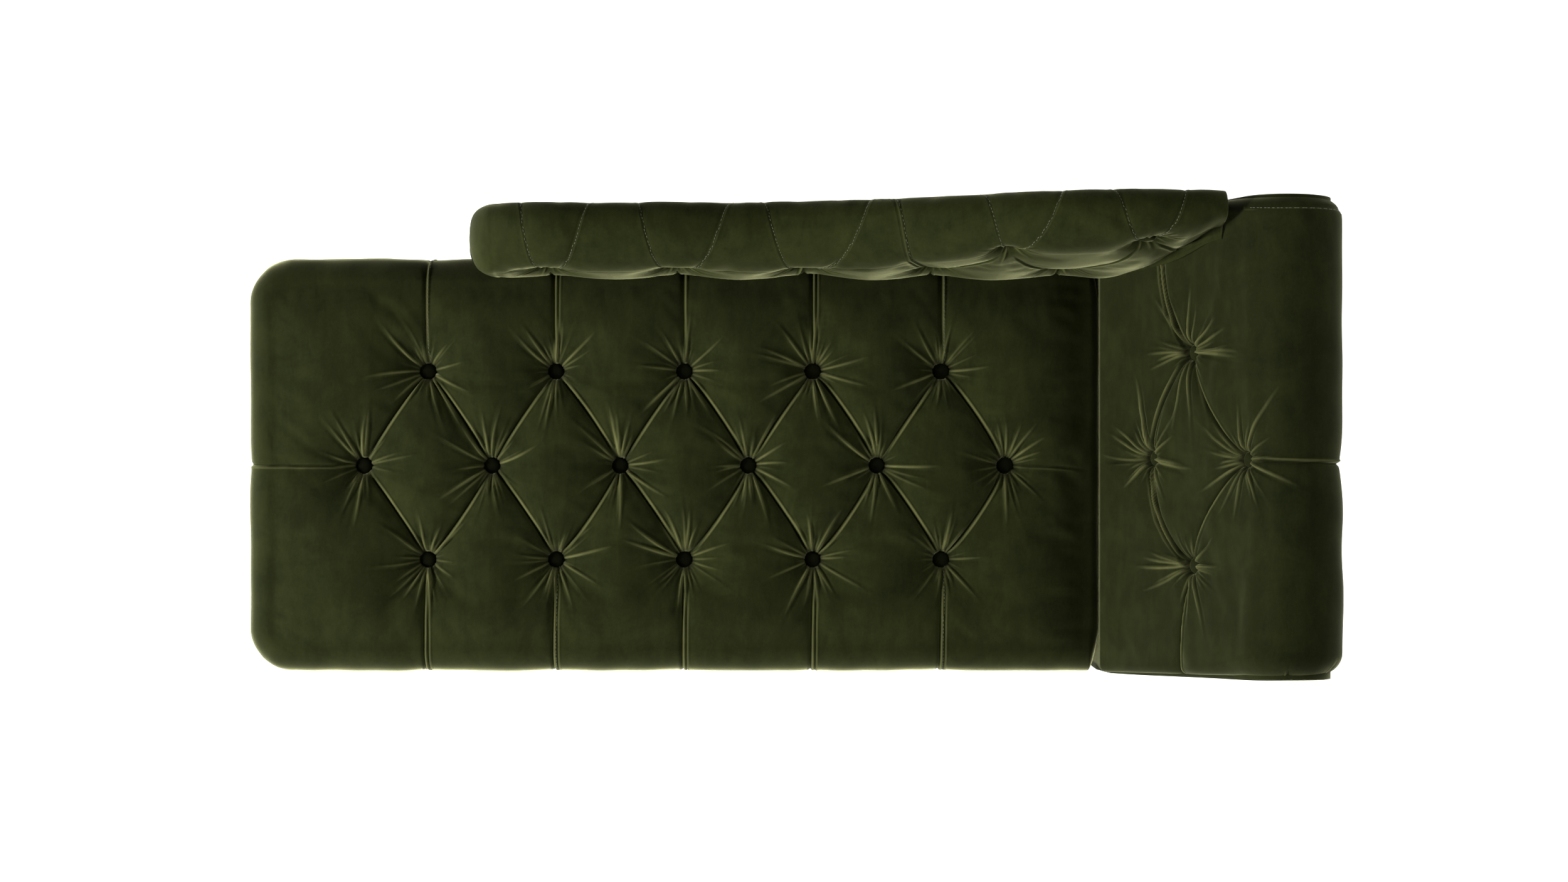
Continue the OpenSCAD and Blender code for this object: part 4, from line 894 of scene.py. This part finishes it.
def arm_taper(up, front):
    """How far the arm's front or rear edge stands past its node, from the crease, 0, to the top, 1."""
    return (27 * up - 22) * MM if front else 5 * MM * up


ARM_SWELL = 0.4


def arm_cover():
    """The arm's cover: the path carried along Y, rounded over at the front and rear, with pits, pleats and
    gathers pushed along the inward direction. The inside is closed behind, and each end by a fan."""
    s = sizes()
    path = ArmPath()
    lo, hi = low("arm_cover"), high("arm_cover")
    tuck, scroll_lead = 128 * MM, 90 * MM
    su = lines((-tuck, 0, 5 * MM), (0, path.face + scroll_lead, s.step),
               (path.face + scroll_lead, path.end, 4 * MM))
    up = np.clip(su / path.face, 0, 1)[:, None]
    round_off = ((12 + 20 * smooth((su - 0.7 * path.face) / (0.55 * path.face))) * MM)[:, None]
    start, stop = lo[1] + arm_taper(up, True), hi[1] + arm_taper(up, False)
    core = np.linspace(0, 1, int((hi[1] - lo[1]) / s.step))[None]
    arc = np.linspace(0, np.pi / 2, 14)[None, :-1]
    flat_y = start + round_off + core * (stop - start - 2 * round_off)
    in_y = round_off * (1 - np.cos(arc))
    y = np.concatenate([start + in_y, flat_y, stop - in_y[:, ::-1]], 1)
    rolled = round_off * np.concatenate([1 - np.sin(arc), 0 * core, 1 - np.sin(arc[:, ::-1])], 1)
    ss = np.broadcast_to(su[:, None], y.shape)
    tufts, pleats = arm_layout(path)
    rng = np.random.default_rng(s.seed + 1)
    pit = sunk(ss, y, tufts, s.side_depth)
    pleat, fold, lip = pleated(ss, y, pleats)
    gather, painted_highlight = gathered(ss, y, tufts, rng, 26, 165 * MM, -0.35)
    ends = smooth((ss + 4 * MM) / (30 * MM)) * smooth((path.end - ss) / (20 * MM))
    dent = np.maximum(pit, pit * 0.6 + 1.3 * pleat) * ends

    def laid(dent):
        flat, _ = path.at(np.maximum(ss, 0), dent + rolled)
        return np.stack([flat[..., 0], y, flat[..., 1] + np.minimum(ss, 0)], 2)

    scroll = smooth((ss - path.face - 20 * MM) / (70 * MM))
    held = (pit > 0.8 * s.side_depth) | (fold > 0.12 * s.crease) | (ends < 1) | (rolled > 0) | (scroll > 0.9)
    move = swelling(laid(dent)[:, ::-1], held[:, ::-1])[:, ::-1] * ARM_SWELL * (1 - scroll)[..., None]
    dent = dent - np.minimum(1.3 * gather + rippled(ss, y, rng, 0.8 * MM), dent + 3 * MM) * ends
    points = laid(under_button(dent, ss, y, tufts, s.side_depth)) + move
    points[..., 0] = np.maximum(points[..., 0], lo[0])
    stitch_row("arm_stitching", ss, y, points, pleats, 3 * MM)
    inner_x = high("arm_outside_panel")[0] - 4.5 * MM
    neck_z, foot_z = points[-1, :, 2].min() + 1 * MM, path.crease[1] - tuck
    back = [np.stack(np.broadcast_arrays(px, py, pz), 1) for px, py, pz in (
        (inner_x, y[-1], neck_z), (inner_x, y[0], foot_z), (lo[0] + 16 * MM, y[0], foot_z))]
    rings = np.concatenate([points, back]).swapaxes(0, 1)
    hub = np.array([inner_x - 15 * MM, 0.0, path.middle[1] - 25 * MM])
    verts, faces = tube(rings, hub + [0, lo[1] + 16 * MM, 0], hub + [0, hi[1] - 8 * MM, 0])
    # The arm's painted shade along its folds and its painted highlight are made a fifth stronger.
    marks = {k: np.append(np.pad(w, ((0, len(back)), (0, 0))).T, [0, 0])
             for k, w in painted_light_marks(pit / s.side_depth, fold * 1.2, lip, painted_highlight * 1.2).items()}
    made = make_mesh("arm_velvet_painted_shade", verts, faces, marks)
    finish_piece(made, "arm_velvet_painted_shade", "velvet", "arm_cover", "arm_foam", fill=0.7)


def arm_outline(inset, n=420):
    """Outline of the scroll facing round a point inside it: the farthest hit of a ray on the scroll's circle,
    the leaning face, the inner side, the outer side, the foot and the level of the scroll's tangent point."""
    path = ArmPath()
    foot = low("arm_front_facing")[2]
    x_in, x_out = path.crease[0] + 0.8 * MM, high("arm_outside_panel")[0] - 1 * MM
    hub = np.array([x_out - 22 * MM, path.middle[1] - 25 * MM])
    inner_foot, outer_foot = np.array([x_in, foot]) - hub, np.array([x_out, foot]) - hub
    turns = np.append(np.linspace(-np.pi, np.pi, n, endpoint=False),
                      [math.atan2(z, x) for x, z in (inner_foot, outer_foot)])
    way = np.stack([np.cos(np.sort(turns)), np.sin(np.sort(turns))], 1)
    r = path.radius - inset
    to = path.middle - hub
    b = way @ to
    inside = b ** 2 - (to @ to - r ** 2)
    circle = b + np.sqrt(np.maximum(inside, 0))
    lean_n = np.array([-math.sin(path.lean), math.cos(path.lean)])
    walls = [(lean_n, path.crease - inset * lean_n - hub), ([-1, 0], inner_foot), ([1, 0], outer_foot),
             ([0, -1], inner_foot), ([0, 1], to + [0, r * math.cos(path.lean)])]
    far, grazing = 9.0, 1e-6
    body = np.full(len(way), far)
    for normal, point in walls:
        facing = way @ normal
        hit = (point @ np.asarray(normal)) / np.maximum(facing, grazing)
        body = np.where(facing > grazing, np.minimum(body, hit), body)
    return hub, way, np.where(inside > 0, np.maximum(circle, body), body)


def facing_pad(name, node, front):
    """A padded facing: rings of the scroll outline shrink to its hub while the face rises as a soft pillow.
    It wraps the edge of the board behind it and keeps to the taper of the arm's end."""
    hub, way, reach = arm_outline(16.5 * MM)
    sign = -1 if front else 1
    face = low(node)[1] if front else high(node)[1]
    foot = face - sign * (high("arm_front_board")[1] - low("arm_front_facing")[1])
    shares = np.concatenate([[1.0, 1.0], 1 - np.linspace(0, 1, 26)[1:-1] ** 1.6])[:, None]
    x, z = hub[0] + shares * reach * way[:, 0], hub[1] + shares * reach * way[:, 1]
    crease = sizes().crease_height
    taper = arm_taper(np.clip((z - crease) / (high("arm_cover")[2] - crease), 0, 1), front)
    wave = 0.4 * MM * np.sin(x / (31 * MM) + 1.7 * np.sin(z / (70 * MM))) * np.sin(z / (47 * MM))
    behind_seam, rolled = 1.5 * MM, 1.6 * MM * (1 - smooth((1 - shares) * 14))
    drop = behind_seam + rolled + wave * smooth((1 - shares) * 8)
    y = face + taper - sign * drop
    y[0] = foot
    hub_y = y[-1, np.argmin(reach)]
    verts, faces = tube(np.stack([x, y, z], 2), [hub[0], foot, hub[1]], [hub[0], hub_y, hub[1]])
    finish_piece(make_mesh(name, verts, faces), "arm_velvet_painted_shade", "velvet", node, fill=0.5)


# Back
BACK_LEAN, BACK_SHOULDER, BACK_REAR = 0.075, 70 * MM, 30 * MM
BACK_SOFT_END, UPPER_TUFTS_FROM = 45 * MM, 60 * MM


def back_top(x):
    """Height of the back's top line: low, then a smooth rise, with quarter ellipses off both ends."""
    lo, hi = low("back_cover"), high("back_cover")
    drop = 165 * MM
    t = (x - lo[0]) / (hi[0] - lo[0])
    foot_end, head_end = (1 - np.sqrt(1 - np.clip(a, 0, 1) ** 2) for a in (1 - t / 0.15, 1 - (1 - t) / 0.12))
    return hi[2] - drop + drop * smooth((t - 0.4) / 0.47) - (1.4 * foot_end + 0.25 * head_end) * BACK_SHOULDER


def back_section(x, pinch, tuft_z):
    """Grids of Y and Z of the back's surface before it is buttoned. At each x a section runs up from the tuck
    behind the seat, over the bulge and the leaning face, round the shoulder and the top and a little way down
    the rear. The count of points below the shoulder comes with them."""
    lo, hi = low("back_cover"), high("back_cover")
    top = (back_top(x) - pinch)[:, None]
    high_z, bulge_z, foot_z = top - BACK_SHOULDER, tuft_z - 17 * MM, lo[2] + 14 * MM
    near_head, at_head = smooth((x - hi[0] + 150 * MM) / (90 * MM)), smooth(1 + (x - hi[0]) / (70 * MM))
    front = (lo[1] + pinch + 15 * MM * near_head + 24 * MM * at_head ** 1.5)[:, None]
    rear_y = hi[1] - 0.6 * pinch[:, None]
    tuck_y = high("seat_cover")[1] + 0.8 * MM

    def stretch(n, end=1.0):
        return np.linspace(0, end, n)[None, :-1]

    t = stretch(30)
    parts = [(front + (np.maximum(tuck_y, front) - front) * (1 - np.sin(t * np.pi / 2)) ** 1.4,
              foot_z + (bulge_z - foot_z) * t ** 1.1)]
    z = bulge_z + (high_z - bulge_z) * stretch(96)
    parts.append((front + BACK_LEAN * (z - bulge_z), z))
    below = t.size + z.shape[1]
    a = stretch(44, np.pi / 2)
    y_high = front + BACK_LEAN * (high_z - bulge_z)
    parts.append((y_high + (rear_y - BACK_REAR - y_high) * (1 - np.cos(a)), high_z + BACK_SHOULDER * np.sin(a)))
    a = stretch(18, np.pi / 2)
    parts.append((rear_y - BACK_REAR + BACK_REAR * np.sin(a), top - BACK_REAR * (1 - np.cos(a))))
    t = np.linspace(0, 1, 10)[None]
    parts.append((rear_y + 0 * t, top - BACK_REAR - 18 * MM * t))
    ys, zs = zip(*parts)
    y, z = (np.concatenate([np.broadcast_to(w, (len(x), w.shape[1])) for w in ws], 1) for ws in (ys, zs))
    return y, z, below


def back_pleats(tufts, top_run):
    """Pleats of the back in X and in distance up the section, where top_run gives the section's end at an
    x."""
    is_upper = tufts[:, 1] >= UPPER_TUFTS_FROM
    lower, upper = (sorted(row, key=lambda t: t[0]) for row in (tufts[~is_upper], tufts[is_upper]))

    def to_top(t, shift, bow, side=1, weight=0.24, double=False):
        end = t[0] + shift * MM
        return Pleat(bowed(t, (end, top_run(end)), bow * MM), side, weight, double, 0.0, True, 0.9)

    pairs = [(lower[0], (-35, 4), (76, -6)), (lower[1], (-57, 5), (90, -8)), (lower[2], (-66, 6), (104, -8)),
             (upper[0], (-42, 4), (78, -6)), (upper[1], (-62, 5), (51, -6))]
    pleats = [to_top(lower[3], -67, 7, 1, 0.4, True)]
    for tuft, leftward, rightward in pairs:
        pleats += [to_top(tuft, *leftward), to_top(tuft, *rightward, -1)]
    for a, b, bow in ((lower[3], upper[0], -9), (lower[4], upper[0], 9), (lower[4], upper[1], -9)):
        pleats.append(Pleat(bowed(a, b, bow * MM), 1 if bow > 0 else -1, 0.35, dip=0.9))
    end = (high("back_cover")[0] - 30 * MM, upper[1][1] - 120 * MM)
    pleats.append(Pleat(bowed(upper[1], end, 4 * MM), -1, 0.4))
    return pleats + [Pleat(bowed(t, (t[0], -130 * MM)), 1, 0.4) for t in lower]


def back_cover():
    """The back's cover: its section at each x, drawn in round the foot end, with pits, pleats and gathers
    pushed along the normal. It rests on the arm at the head end, and is closed behind."""
    s = sizes()
    lo, hi = low("back_cover"), high("back_cover")
    arc = np.linspace(0, np.pi / 2, 22)[:-1]
    soft_end = lo[0] + BACK_SOFT_END
    x = np.append(lo[0] + BACK_SOFT_END * (1 - np.cos(arc)), lines((soft_end, hi[0] + 1.2 * MM, s.step)))
    into = np.maximum(0, soft_end - x)
    pinch = np.where(into > 0, BACK_SOFT_END - np.sqrt(np.maximum(0, BACK_SOFT_END ** 2 - into ** 2)), 0.0)
    places = button_places("back_buttons")
    tuft_z = places[:, 2].min()
    y, z, below = back_section(x, pinch, tuft_z)
    xx = np.broadcast_to(x[:, None], y.shape)
    points = np.stack([xx, y, z], 2)
    run = np.pad(np.cumsum(np.hypot(np.diff(y, axis=1), np.diff(z, axis=1)), 1), ((0, 0), (1, 0)))
    level = [np.interp(tuft_z, z_line[:below], run_line[:below]) for z_line, run_line in zip(z, run)]
    vv = run - np.array(level)[:, None]
    tufts = []
    for place in places:
        i = np.argmin(np.abs(x - place[0]))
        j = np.argmin(np.hypot(y[i] - (place[1] - s.side_depth + 4 * MM), z[i] - place[2]))
        tufts.append([place[0], vv[i, j]])
    pleats = back_pleats(np.array(tufts), lambda at: vv[np.argmin(np.abs(x - at)), -1])
    rng = np.random.default_rng(s.seed + 2)
    pit = sunk(xx, vv, tufts, s.side_depth)
    pleat, fold, lip = pleated(xx, vv, pleats)
    gather, painted_highlight = gathered(xx, vv, tufts, rng, 18, 85 * MM, 0.0)
    ends = smooth((run[:, -1:] - run) / (26 * MM)) * smooth(run / (10 * MM))
    at_foot = np.where(pinch > 0, 0.6, 1.0) * (0.25 + 0.75 * smooth((x - lo[0]) / (30 * MM)))
    ends = ends * at_foot[:, None]
    dent = np.maximum(pit, pit * 0.6 + pleat) * ends
    n = normals(points)
    held = (pit > 0.8 * s.side_depth) | (fold > 0.05 * s.crease) | (ends < 1) | (xx > hi[0] - 20 * MM)
    move = swelling(points - n * dent[..., None], held)
    dent = dent - (0.7 * gather + rippled(xx, vv, rng, 1.1 * MM)) * ends
    dent = under_button(dent, xx, vv, tufts, s.side_depth)
    points = points - n * dent[..., None] + move
    arm = ArmPath()
    on_arm = arm.crease[1] + (x - arm.crease[0]) * math.tan(arm.lean) - 3 * MM
    points[..., 2] = np.maximum(points[..., 2], np.where(x > arm.crease[0], on_arm, 0.0)[:, None])
    points[..., 1] = np.clip(points[..., 1], CAD_BOX[0][1], hi[1])
    behind = np.broadcast_to(hi[1] - 8.5 * MM, x.shape)
    closing = np.stack([np.stack([x, behind, points[:, k, 2]], 1) for k in (-1, 0)], 1)
    verts, faces = tube(np.concatenate([points, closing], 1))
    # The back's painted shade in its pits is made a fifth weaker.
    marks = {k: np.append(np.pad(w, ((0, 0), (0, 2))), [0, 0])
             for k, w in painted_light_marks(pit / s.side_depth * 0.8, fold, lip, painted_highlight).items()}
    made = make_mesh("back_velvet_painted_light", verts, faces, marks)
    finish_piece(made, "back_velvet_painted_light", "velvet", "back_cover", "back_foam", fill=0.7)
    stitch_row("back_stitching", xx, vv, points, pleats, 1.5 * MM)


def back_welt():
    """Piping up the head edge of the back's outside panel, where it meets the arm: a circle carried up a line
    that turns along the arm's lean, its radius drawn in at both ends by a quarter ellipse."""
    lo, hi = low("back_outside_panel"), high("back_outside_panel")
    arm = ArmPath()
    radius, spacing = 4.6 * MM, 6 * MM
    bend, top_x = arm.crease - [0.5 * MM, 0], hi[0] - 1 * MM
    top_z = min(bend[1] + (top_x - bend[0]) * math.tan(arm.lean), hi[2] - 2 * MM)
    knots = np.array([[bend[0], lo[2] + 1 * MM], bend, [top_x, top_z]])
    run = run_along(knots)
    at = lines((0, run[-1], spacing))
    path = np.stack([np.interp(at, run, w) for w in knots.T], 1)
    path[2:-2] = (path[:-4] + path[1:-3] + path[2:-2] + path[3:-1] + path[4:]) / 5
    way = np.gradient(path, axis=0)
    way /= np.linalg.norm(way, axis=1, keepdims=True)
    end = np.clip(np.minimum(at, run[-1] - at) / spacing, 0, 1)
    r = radius * (0.35 + 0.65 * np.sqrt(1 - (1 - end) ** 2))[:, None]
    turn = np.arange(20) * 2 * np.pi / 20
    out, back = r * np.cos(turn), r * np.sin(turn)
    rings = np.stack([path[:, :1] + way[:, 1:] * out, hi[1] - radius + back,
                      path[:, 1:] - way[:, :1] * out], 2)
    finish_piece(make_mesh("back_edge_welt", *tube(rings)), "back_velvet_painted_light", "velvet")


# Base and legs
def base_band():
    """The fabric band round the base: an upright strip with rolled lower and upper edges, carried along the
    straight sides and round the two foot corners."""
    lo, hi = low("base_band"), high("base_band")
    r, step, edge, tucked = 62 * MM, 8 * MM, 5 * MM, -3 * MM
    turn = np.linspace(0, np.pi / 2, 26)[1:]
    xs, ys = lines((hi[0] - 1 * MM, lo[0] + r, step)), lines((hi[1] - r, lo[1] + r, step))[1:]
    route = np.concatenate([
        np.stack([xs, np.full(len(xs), hi[1])], 1),
        np.stack([lo[0] + r - r * np.sin(turn), hi[1] - r + r * np.cos(turn)], 1),
        np.stack([np.full(len(ys), lo[0]), ys], 1),
        np.stack([lo[0] + r - r * np.cos(turn), lo[1] + r - r * np.sin(turn)], 1),
        np.stack([xs[::-1], np.full(len(xs), lo[1])], 1)[1:]])
    way = np.gradient(route, axis=0)
    way /= np.linalg.norm(way, axis=1, keepdims=True)
    h = hi[2] - lo[2]
    a = np.linspace(-np.pi / 2, 0, 7)
    upper = a + np.pi / 2
    flat = np.linspace(edge, h - edge, 40)[1:-1]
    rise = np.concatenate([[0.0], edge + edge * np.sin(a), flat, h - edge + edge * np.sin(upper), [h]])
    depth = np.concatenate([[tucked], edge * np.cos(a) - edge, 0 * flat, edge * np.cos(upper) - edge, [tucked]])
    aa, zz = np.meshgrid(run_along(route), rise, indexing="ij")
    rng = np.random.default_rng(sizes().seed + 3)
    puff = rippled(aa, zz * 2, rng, 0.5 * MM) * smooth(zz / (20 * MM)) * smooth((h - zz) / (20 * MM))
    d = depth[None, :] + puff - 0.6 * MM
    points = np.stack([route[:, :1] + way[:, 1:] * d, route[:, 1:] - way[:, :1] * d, lo[2] + zz], 2)
    finish_piece(make_mesh("base_band_velvet", *tube(points)), "green_velvet", "velvet", "base_band")


# Radius and height of the turned profile, as shares of the leg's own
LEG_SHARES = [(0.42, 0.0), (0.46, 0.04), (0.4, 0.1), (0.44, 0.3), (0.56, 0.48), (0.76, 0.62), (0.88, 0.7),
              (0.84, 0.765), (0.66, 0.8), (0.64, 0.815), (0.9, 0.83), (0.97, 0.86), (0.9, 0.89), (1.0, 0.91),
              (1.0, 1.0)]


def turned_leg(node):
    """A turned leg: a profile of radius against height, softened, spun round the leg's axis."""
    lo, hi = low(node), high(node)
    r_top, h = (hi[0] - lo[0]) / 2, hi[2] - lo[2]
    shares = np.array(LEG_SHARES)
    run = run_along(shares * [r_top / h, 1])
    t = np.linspace(0, run[-1], 150)
    r, z = (np.convolve(np.pad(np.interp(t, run, w), 2, "edge"), np.ones(5) / 5, "valid") for w in shares.T)
    z[0], z[-1] = 0, 1
    turn = np.arange(72) * 2 * np.pi / 72
    mid = (lo + hi) / 2
    radius = r_top * r[:, None]
    rings = np.stack(np.broadcast_arrays(mid[0] + radius * np.cos(turn), mid[1] + radius * np.sin(turn),
                                         lo[2] + h * z[:, None]), 2)
    finish_piece(make_mesh("turned_" + node, *tube(rings)), "stained_hardwood", "stained_wood", node)


# Operators
class COUCH_OT_finishes(bpy.types.Operator):
    """Makes the materials and gives each carried-over part the one of its slot"""

    bl_idname = "couch.finishes"
    bl_label = "Finishes"

    def execute(self, context):
        looks = slot_looks()
        # Scaled copies of the velvet as painted light and shade: darker for the arm, a little lighter for the
        # back, much darker for the seat's buttons, each with less sheen.
        velvet_look("arm_velvet_painted_shade", 0.77, 0.3)
        velvet_look("back_velvet_painted_light", 1.05, 0.2)
        velvet_look("button_velvet_painted_shade", 0.3, 0.1)
        thread_look()
        for part in frame["record"]["subparts"]:
            data = frame["nodes"][part["node"]].data
            data.materials.clear()
            data.materials.append(looks[part["material_slot"]])
        return {"FINISHED"}


class COUCH_OT_seat(bpy.types.Operator):
    """Makes the buttoned seat cover, its stitching and its buttons"""

    bl_idname = "couch.seat"
    bl_label = "Seat"

    def execute(self, context):
        seat_cover()
        # The seat's buttons wear the much darker copy of the velvet: painted shade for the pits they sit in.
        buttons("seat_covered_buttons", "seat_buttons", lambda p: np.array([0.0, 0.0, 1.0]), "button_velvet_painted_shade")
        return {"FINISHED"}


class COUCH_OT_arm(bpy.types.Operator):
    """Makes the arm's cover, facings and buttons"""

    bl_idname = "couch.arm"
    bl_label = "Arm"

    def execute(self, context):
        arm_cover()
        path = ArmPath()

        def outward(place):
            _, inward = path.at(np.array([path.nearest(place, sizes().side_depth)]))
            axis = np.array([-inward[0, 0] * 0.6, 0.0, -inward[0, 1]])
            return axis / np.linalg.norm(axis)

        buttons("arm_covered_buttons", "arm_buttons", outward, "arm_velvet_painted_shade")
        facing_pad("front_scroll_facing", "arm_front_facing", True)
        facing_pad("rear_scroll_facing", "arm_rear_facing", False)
        return {"FINISHED"}


class COUCH_OT_back(bpy.types.Operator):
    """Makes the back's cover, its piping and its buttons"""

    bl_idname = "couch.back"
    bl_label = "Back"

    def execute(self, context):
        back_cover()
        back_welt()
        buttons("back_covered_buttons", "back_buttons", lambda p: np.array([0.0, -1.0, 0.0]), "back_velvet_painted_light")
        return {"FINISHED"}


class COUCH_OT_base(bpy.types.Operator):
    """Makes the band round the base and the turned legs"""

    bl_idname = "couch.base"
    bl_label = "Base"

    def execute(self, context):
        base_band()
        for node in ("front_foot_leg", "rear_foot_leg", "centre_leg", "front_head_leg", "rear_head_leg"):
            turned_leg(node)
        return {"FINISHED"}


class COUCH_OT_stage(bpy.types.Operator):
    """Sets the floor, the soft light and the camera that looks straight down"""

    bl_idname = "couch.stage"
    bl_label = "Stage"

    def execute(self, context):
        scene = context.scene
        scene.view_settings.view_transform = "Standard"
        self.floor(9.0)
        scene.world = self.studio(0.11, 0.95)
        self.lamp("key", (-4.4, -1.1, 2.0), 1.1, 540)
        self.lamp("front", (-0.4, -3.8, 1.35), 1.6, 125)
        self.lamp("fill", (2.6, 1.2, 3.2), 1.8, 105)
        data = bpy.data.cameras.new("from_above")
        data.sensor_width = 36
        data.lens = 49.97
        data.clip_end = 60
        camera = bpy.data.objects.new("from_above", data)
        camera.location = (20.5 * MM, 3 * MM, 3.9)
        context.collection.objects.link(camera)
        scene.camera = camera
        return {"FINISHED"}

    @staticmethod
    def floor(half):
        """A square floor of pale matt paint, a little lit from within so that it stays near white."""
        corners = half * np.array([[-1, -1, 0], [1, -1, 0], [1, 1, 0], [-1, 1, 0]])
        floor = make_mesh("studio_floor", corners, [np.array([[0, 1, 2, 3]])])
        look = Look("studio_floor", Roughness=0.9, Emission_Strength=0.75)
        tint = look.blend(look.noise(3, 2, 0.5), tuple(colours().floor), tone(colours().floor, 0.99))
        look.colour(tint)
        look.feed(look.shader.inputs["Emission Color"], tint)
        floor.data.materials.append(look.material)

    @staticmethod
    def studio(light, seen):
        """A white world that lights the couch with one strength and is seen with another."""
        world = bpy.data.worlds.new("studio")
        world.use_nodes = True
        nodes, link = world.node_tree.nodes, world.node_tree.links.new
        soft, wall = nodes["Background"], nodes.new("ShaderNodeBackground")
        soft.inputs["Color"].default_value = (1, 1, 1, 1)
        soft.inputs["Strength"].default_value = light
        wall.inputs["Strength"].default_value = seen
        either = nodes.new("ShaderNodeMixShader")
        link(nodes.new("ShaderNodeLightPath").outputs["Is Camera Ray"], either.inputs[0])
        link(soft.outputs[0], either.inputs[1])
        link(wall.outputs[0], either.inputs[2])
        link(either.outputs[0], nodes["World Output"].inputs["Surface"])
        return world

    @staticmethod
    def lamp(name, place, size, power):
        """A square lamp aimed at a point on the Z axis at seat height."""
        data = bpy.data.lights.new(name, "AREA")
        data.shape = "SQUARE"
        data.size = size
        data.energy = power
        lamp = bpy.data.objects.new(name, data)
        bpy.context.collection.objects.link(lamp)
        x, y, z = place
        lamp.location = place
        aim_height = 0.4
        lamp.rotation_euler = (0, math.atan2(math.hypot(x, y), z - aim_height), math.atan2(y, x))


class COUCH_PT_panel(bpy.types.Panel):
    """Lists the couch's operators and sizes"""

    bl_idname = "COUCH_PT_panel"
    bl_label = "Fainting couch"
    bl_space_type = "VIEW_3D"
    bl_region_type = "UI"
    bl_category = "Couch"

    def draw(self, context):
        for step in STEPS:
            self.layout.operator("couch." + step)
        for group in (context.scene.couch_sizes, context.scene.couch_colours):
            for key in group.__annotations__:
                self.layout.prop(group, key)


STEPS = ("finishes", "seat", "arm", "back", "base", "stage")
CLASSES = (CouchSizes, CouchColours, COUCH_OT_finishes, COUCH_OT_seat, COUCH_OT_arm, COUCH_OT_back,
           COUCH_OT_base, COUCH_OT_stage, COUCH_PT_panel)


def register():
    for c in CLASSES:
        bpy.utils.register_class(c)
    bpy.types.Scene.couch_sizes = PointerProperty(type=CouchSizes)
    bpy.types.Scene.couch_colours = PointerProperty(type=CouchColours)


def unregister():
    del bpy.types.Scene.couch_colours
    del bpy.types.Scene.couch_sizes
    for c in reversed(CLASSES):
        bpy.utils.unregister_class(c)


def main():
    """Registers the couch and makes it."""
    register()
    for step in STEPS:
        getattr(bpy.ops.couch, step)()
    bpy.context.view_layer.update()


if __name__ == "__main__":
    main()
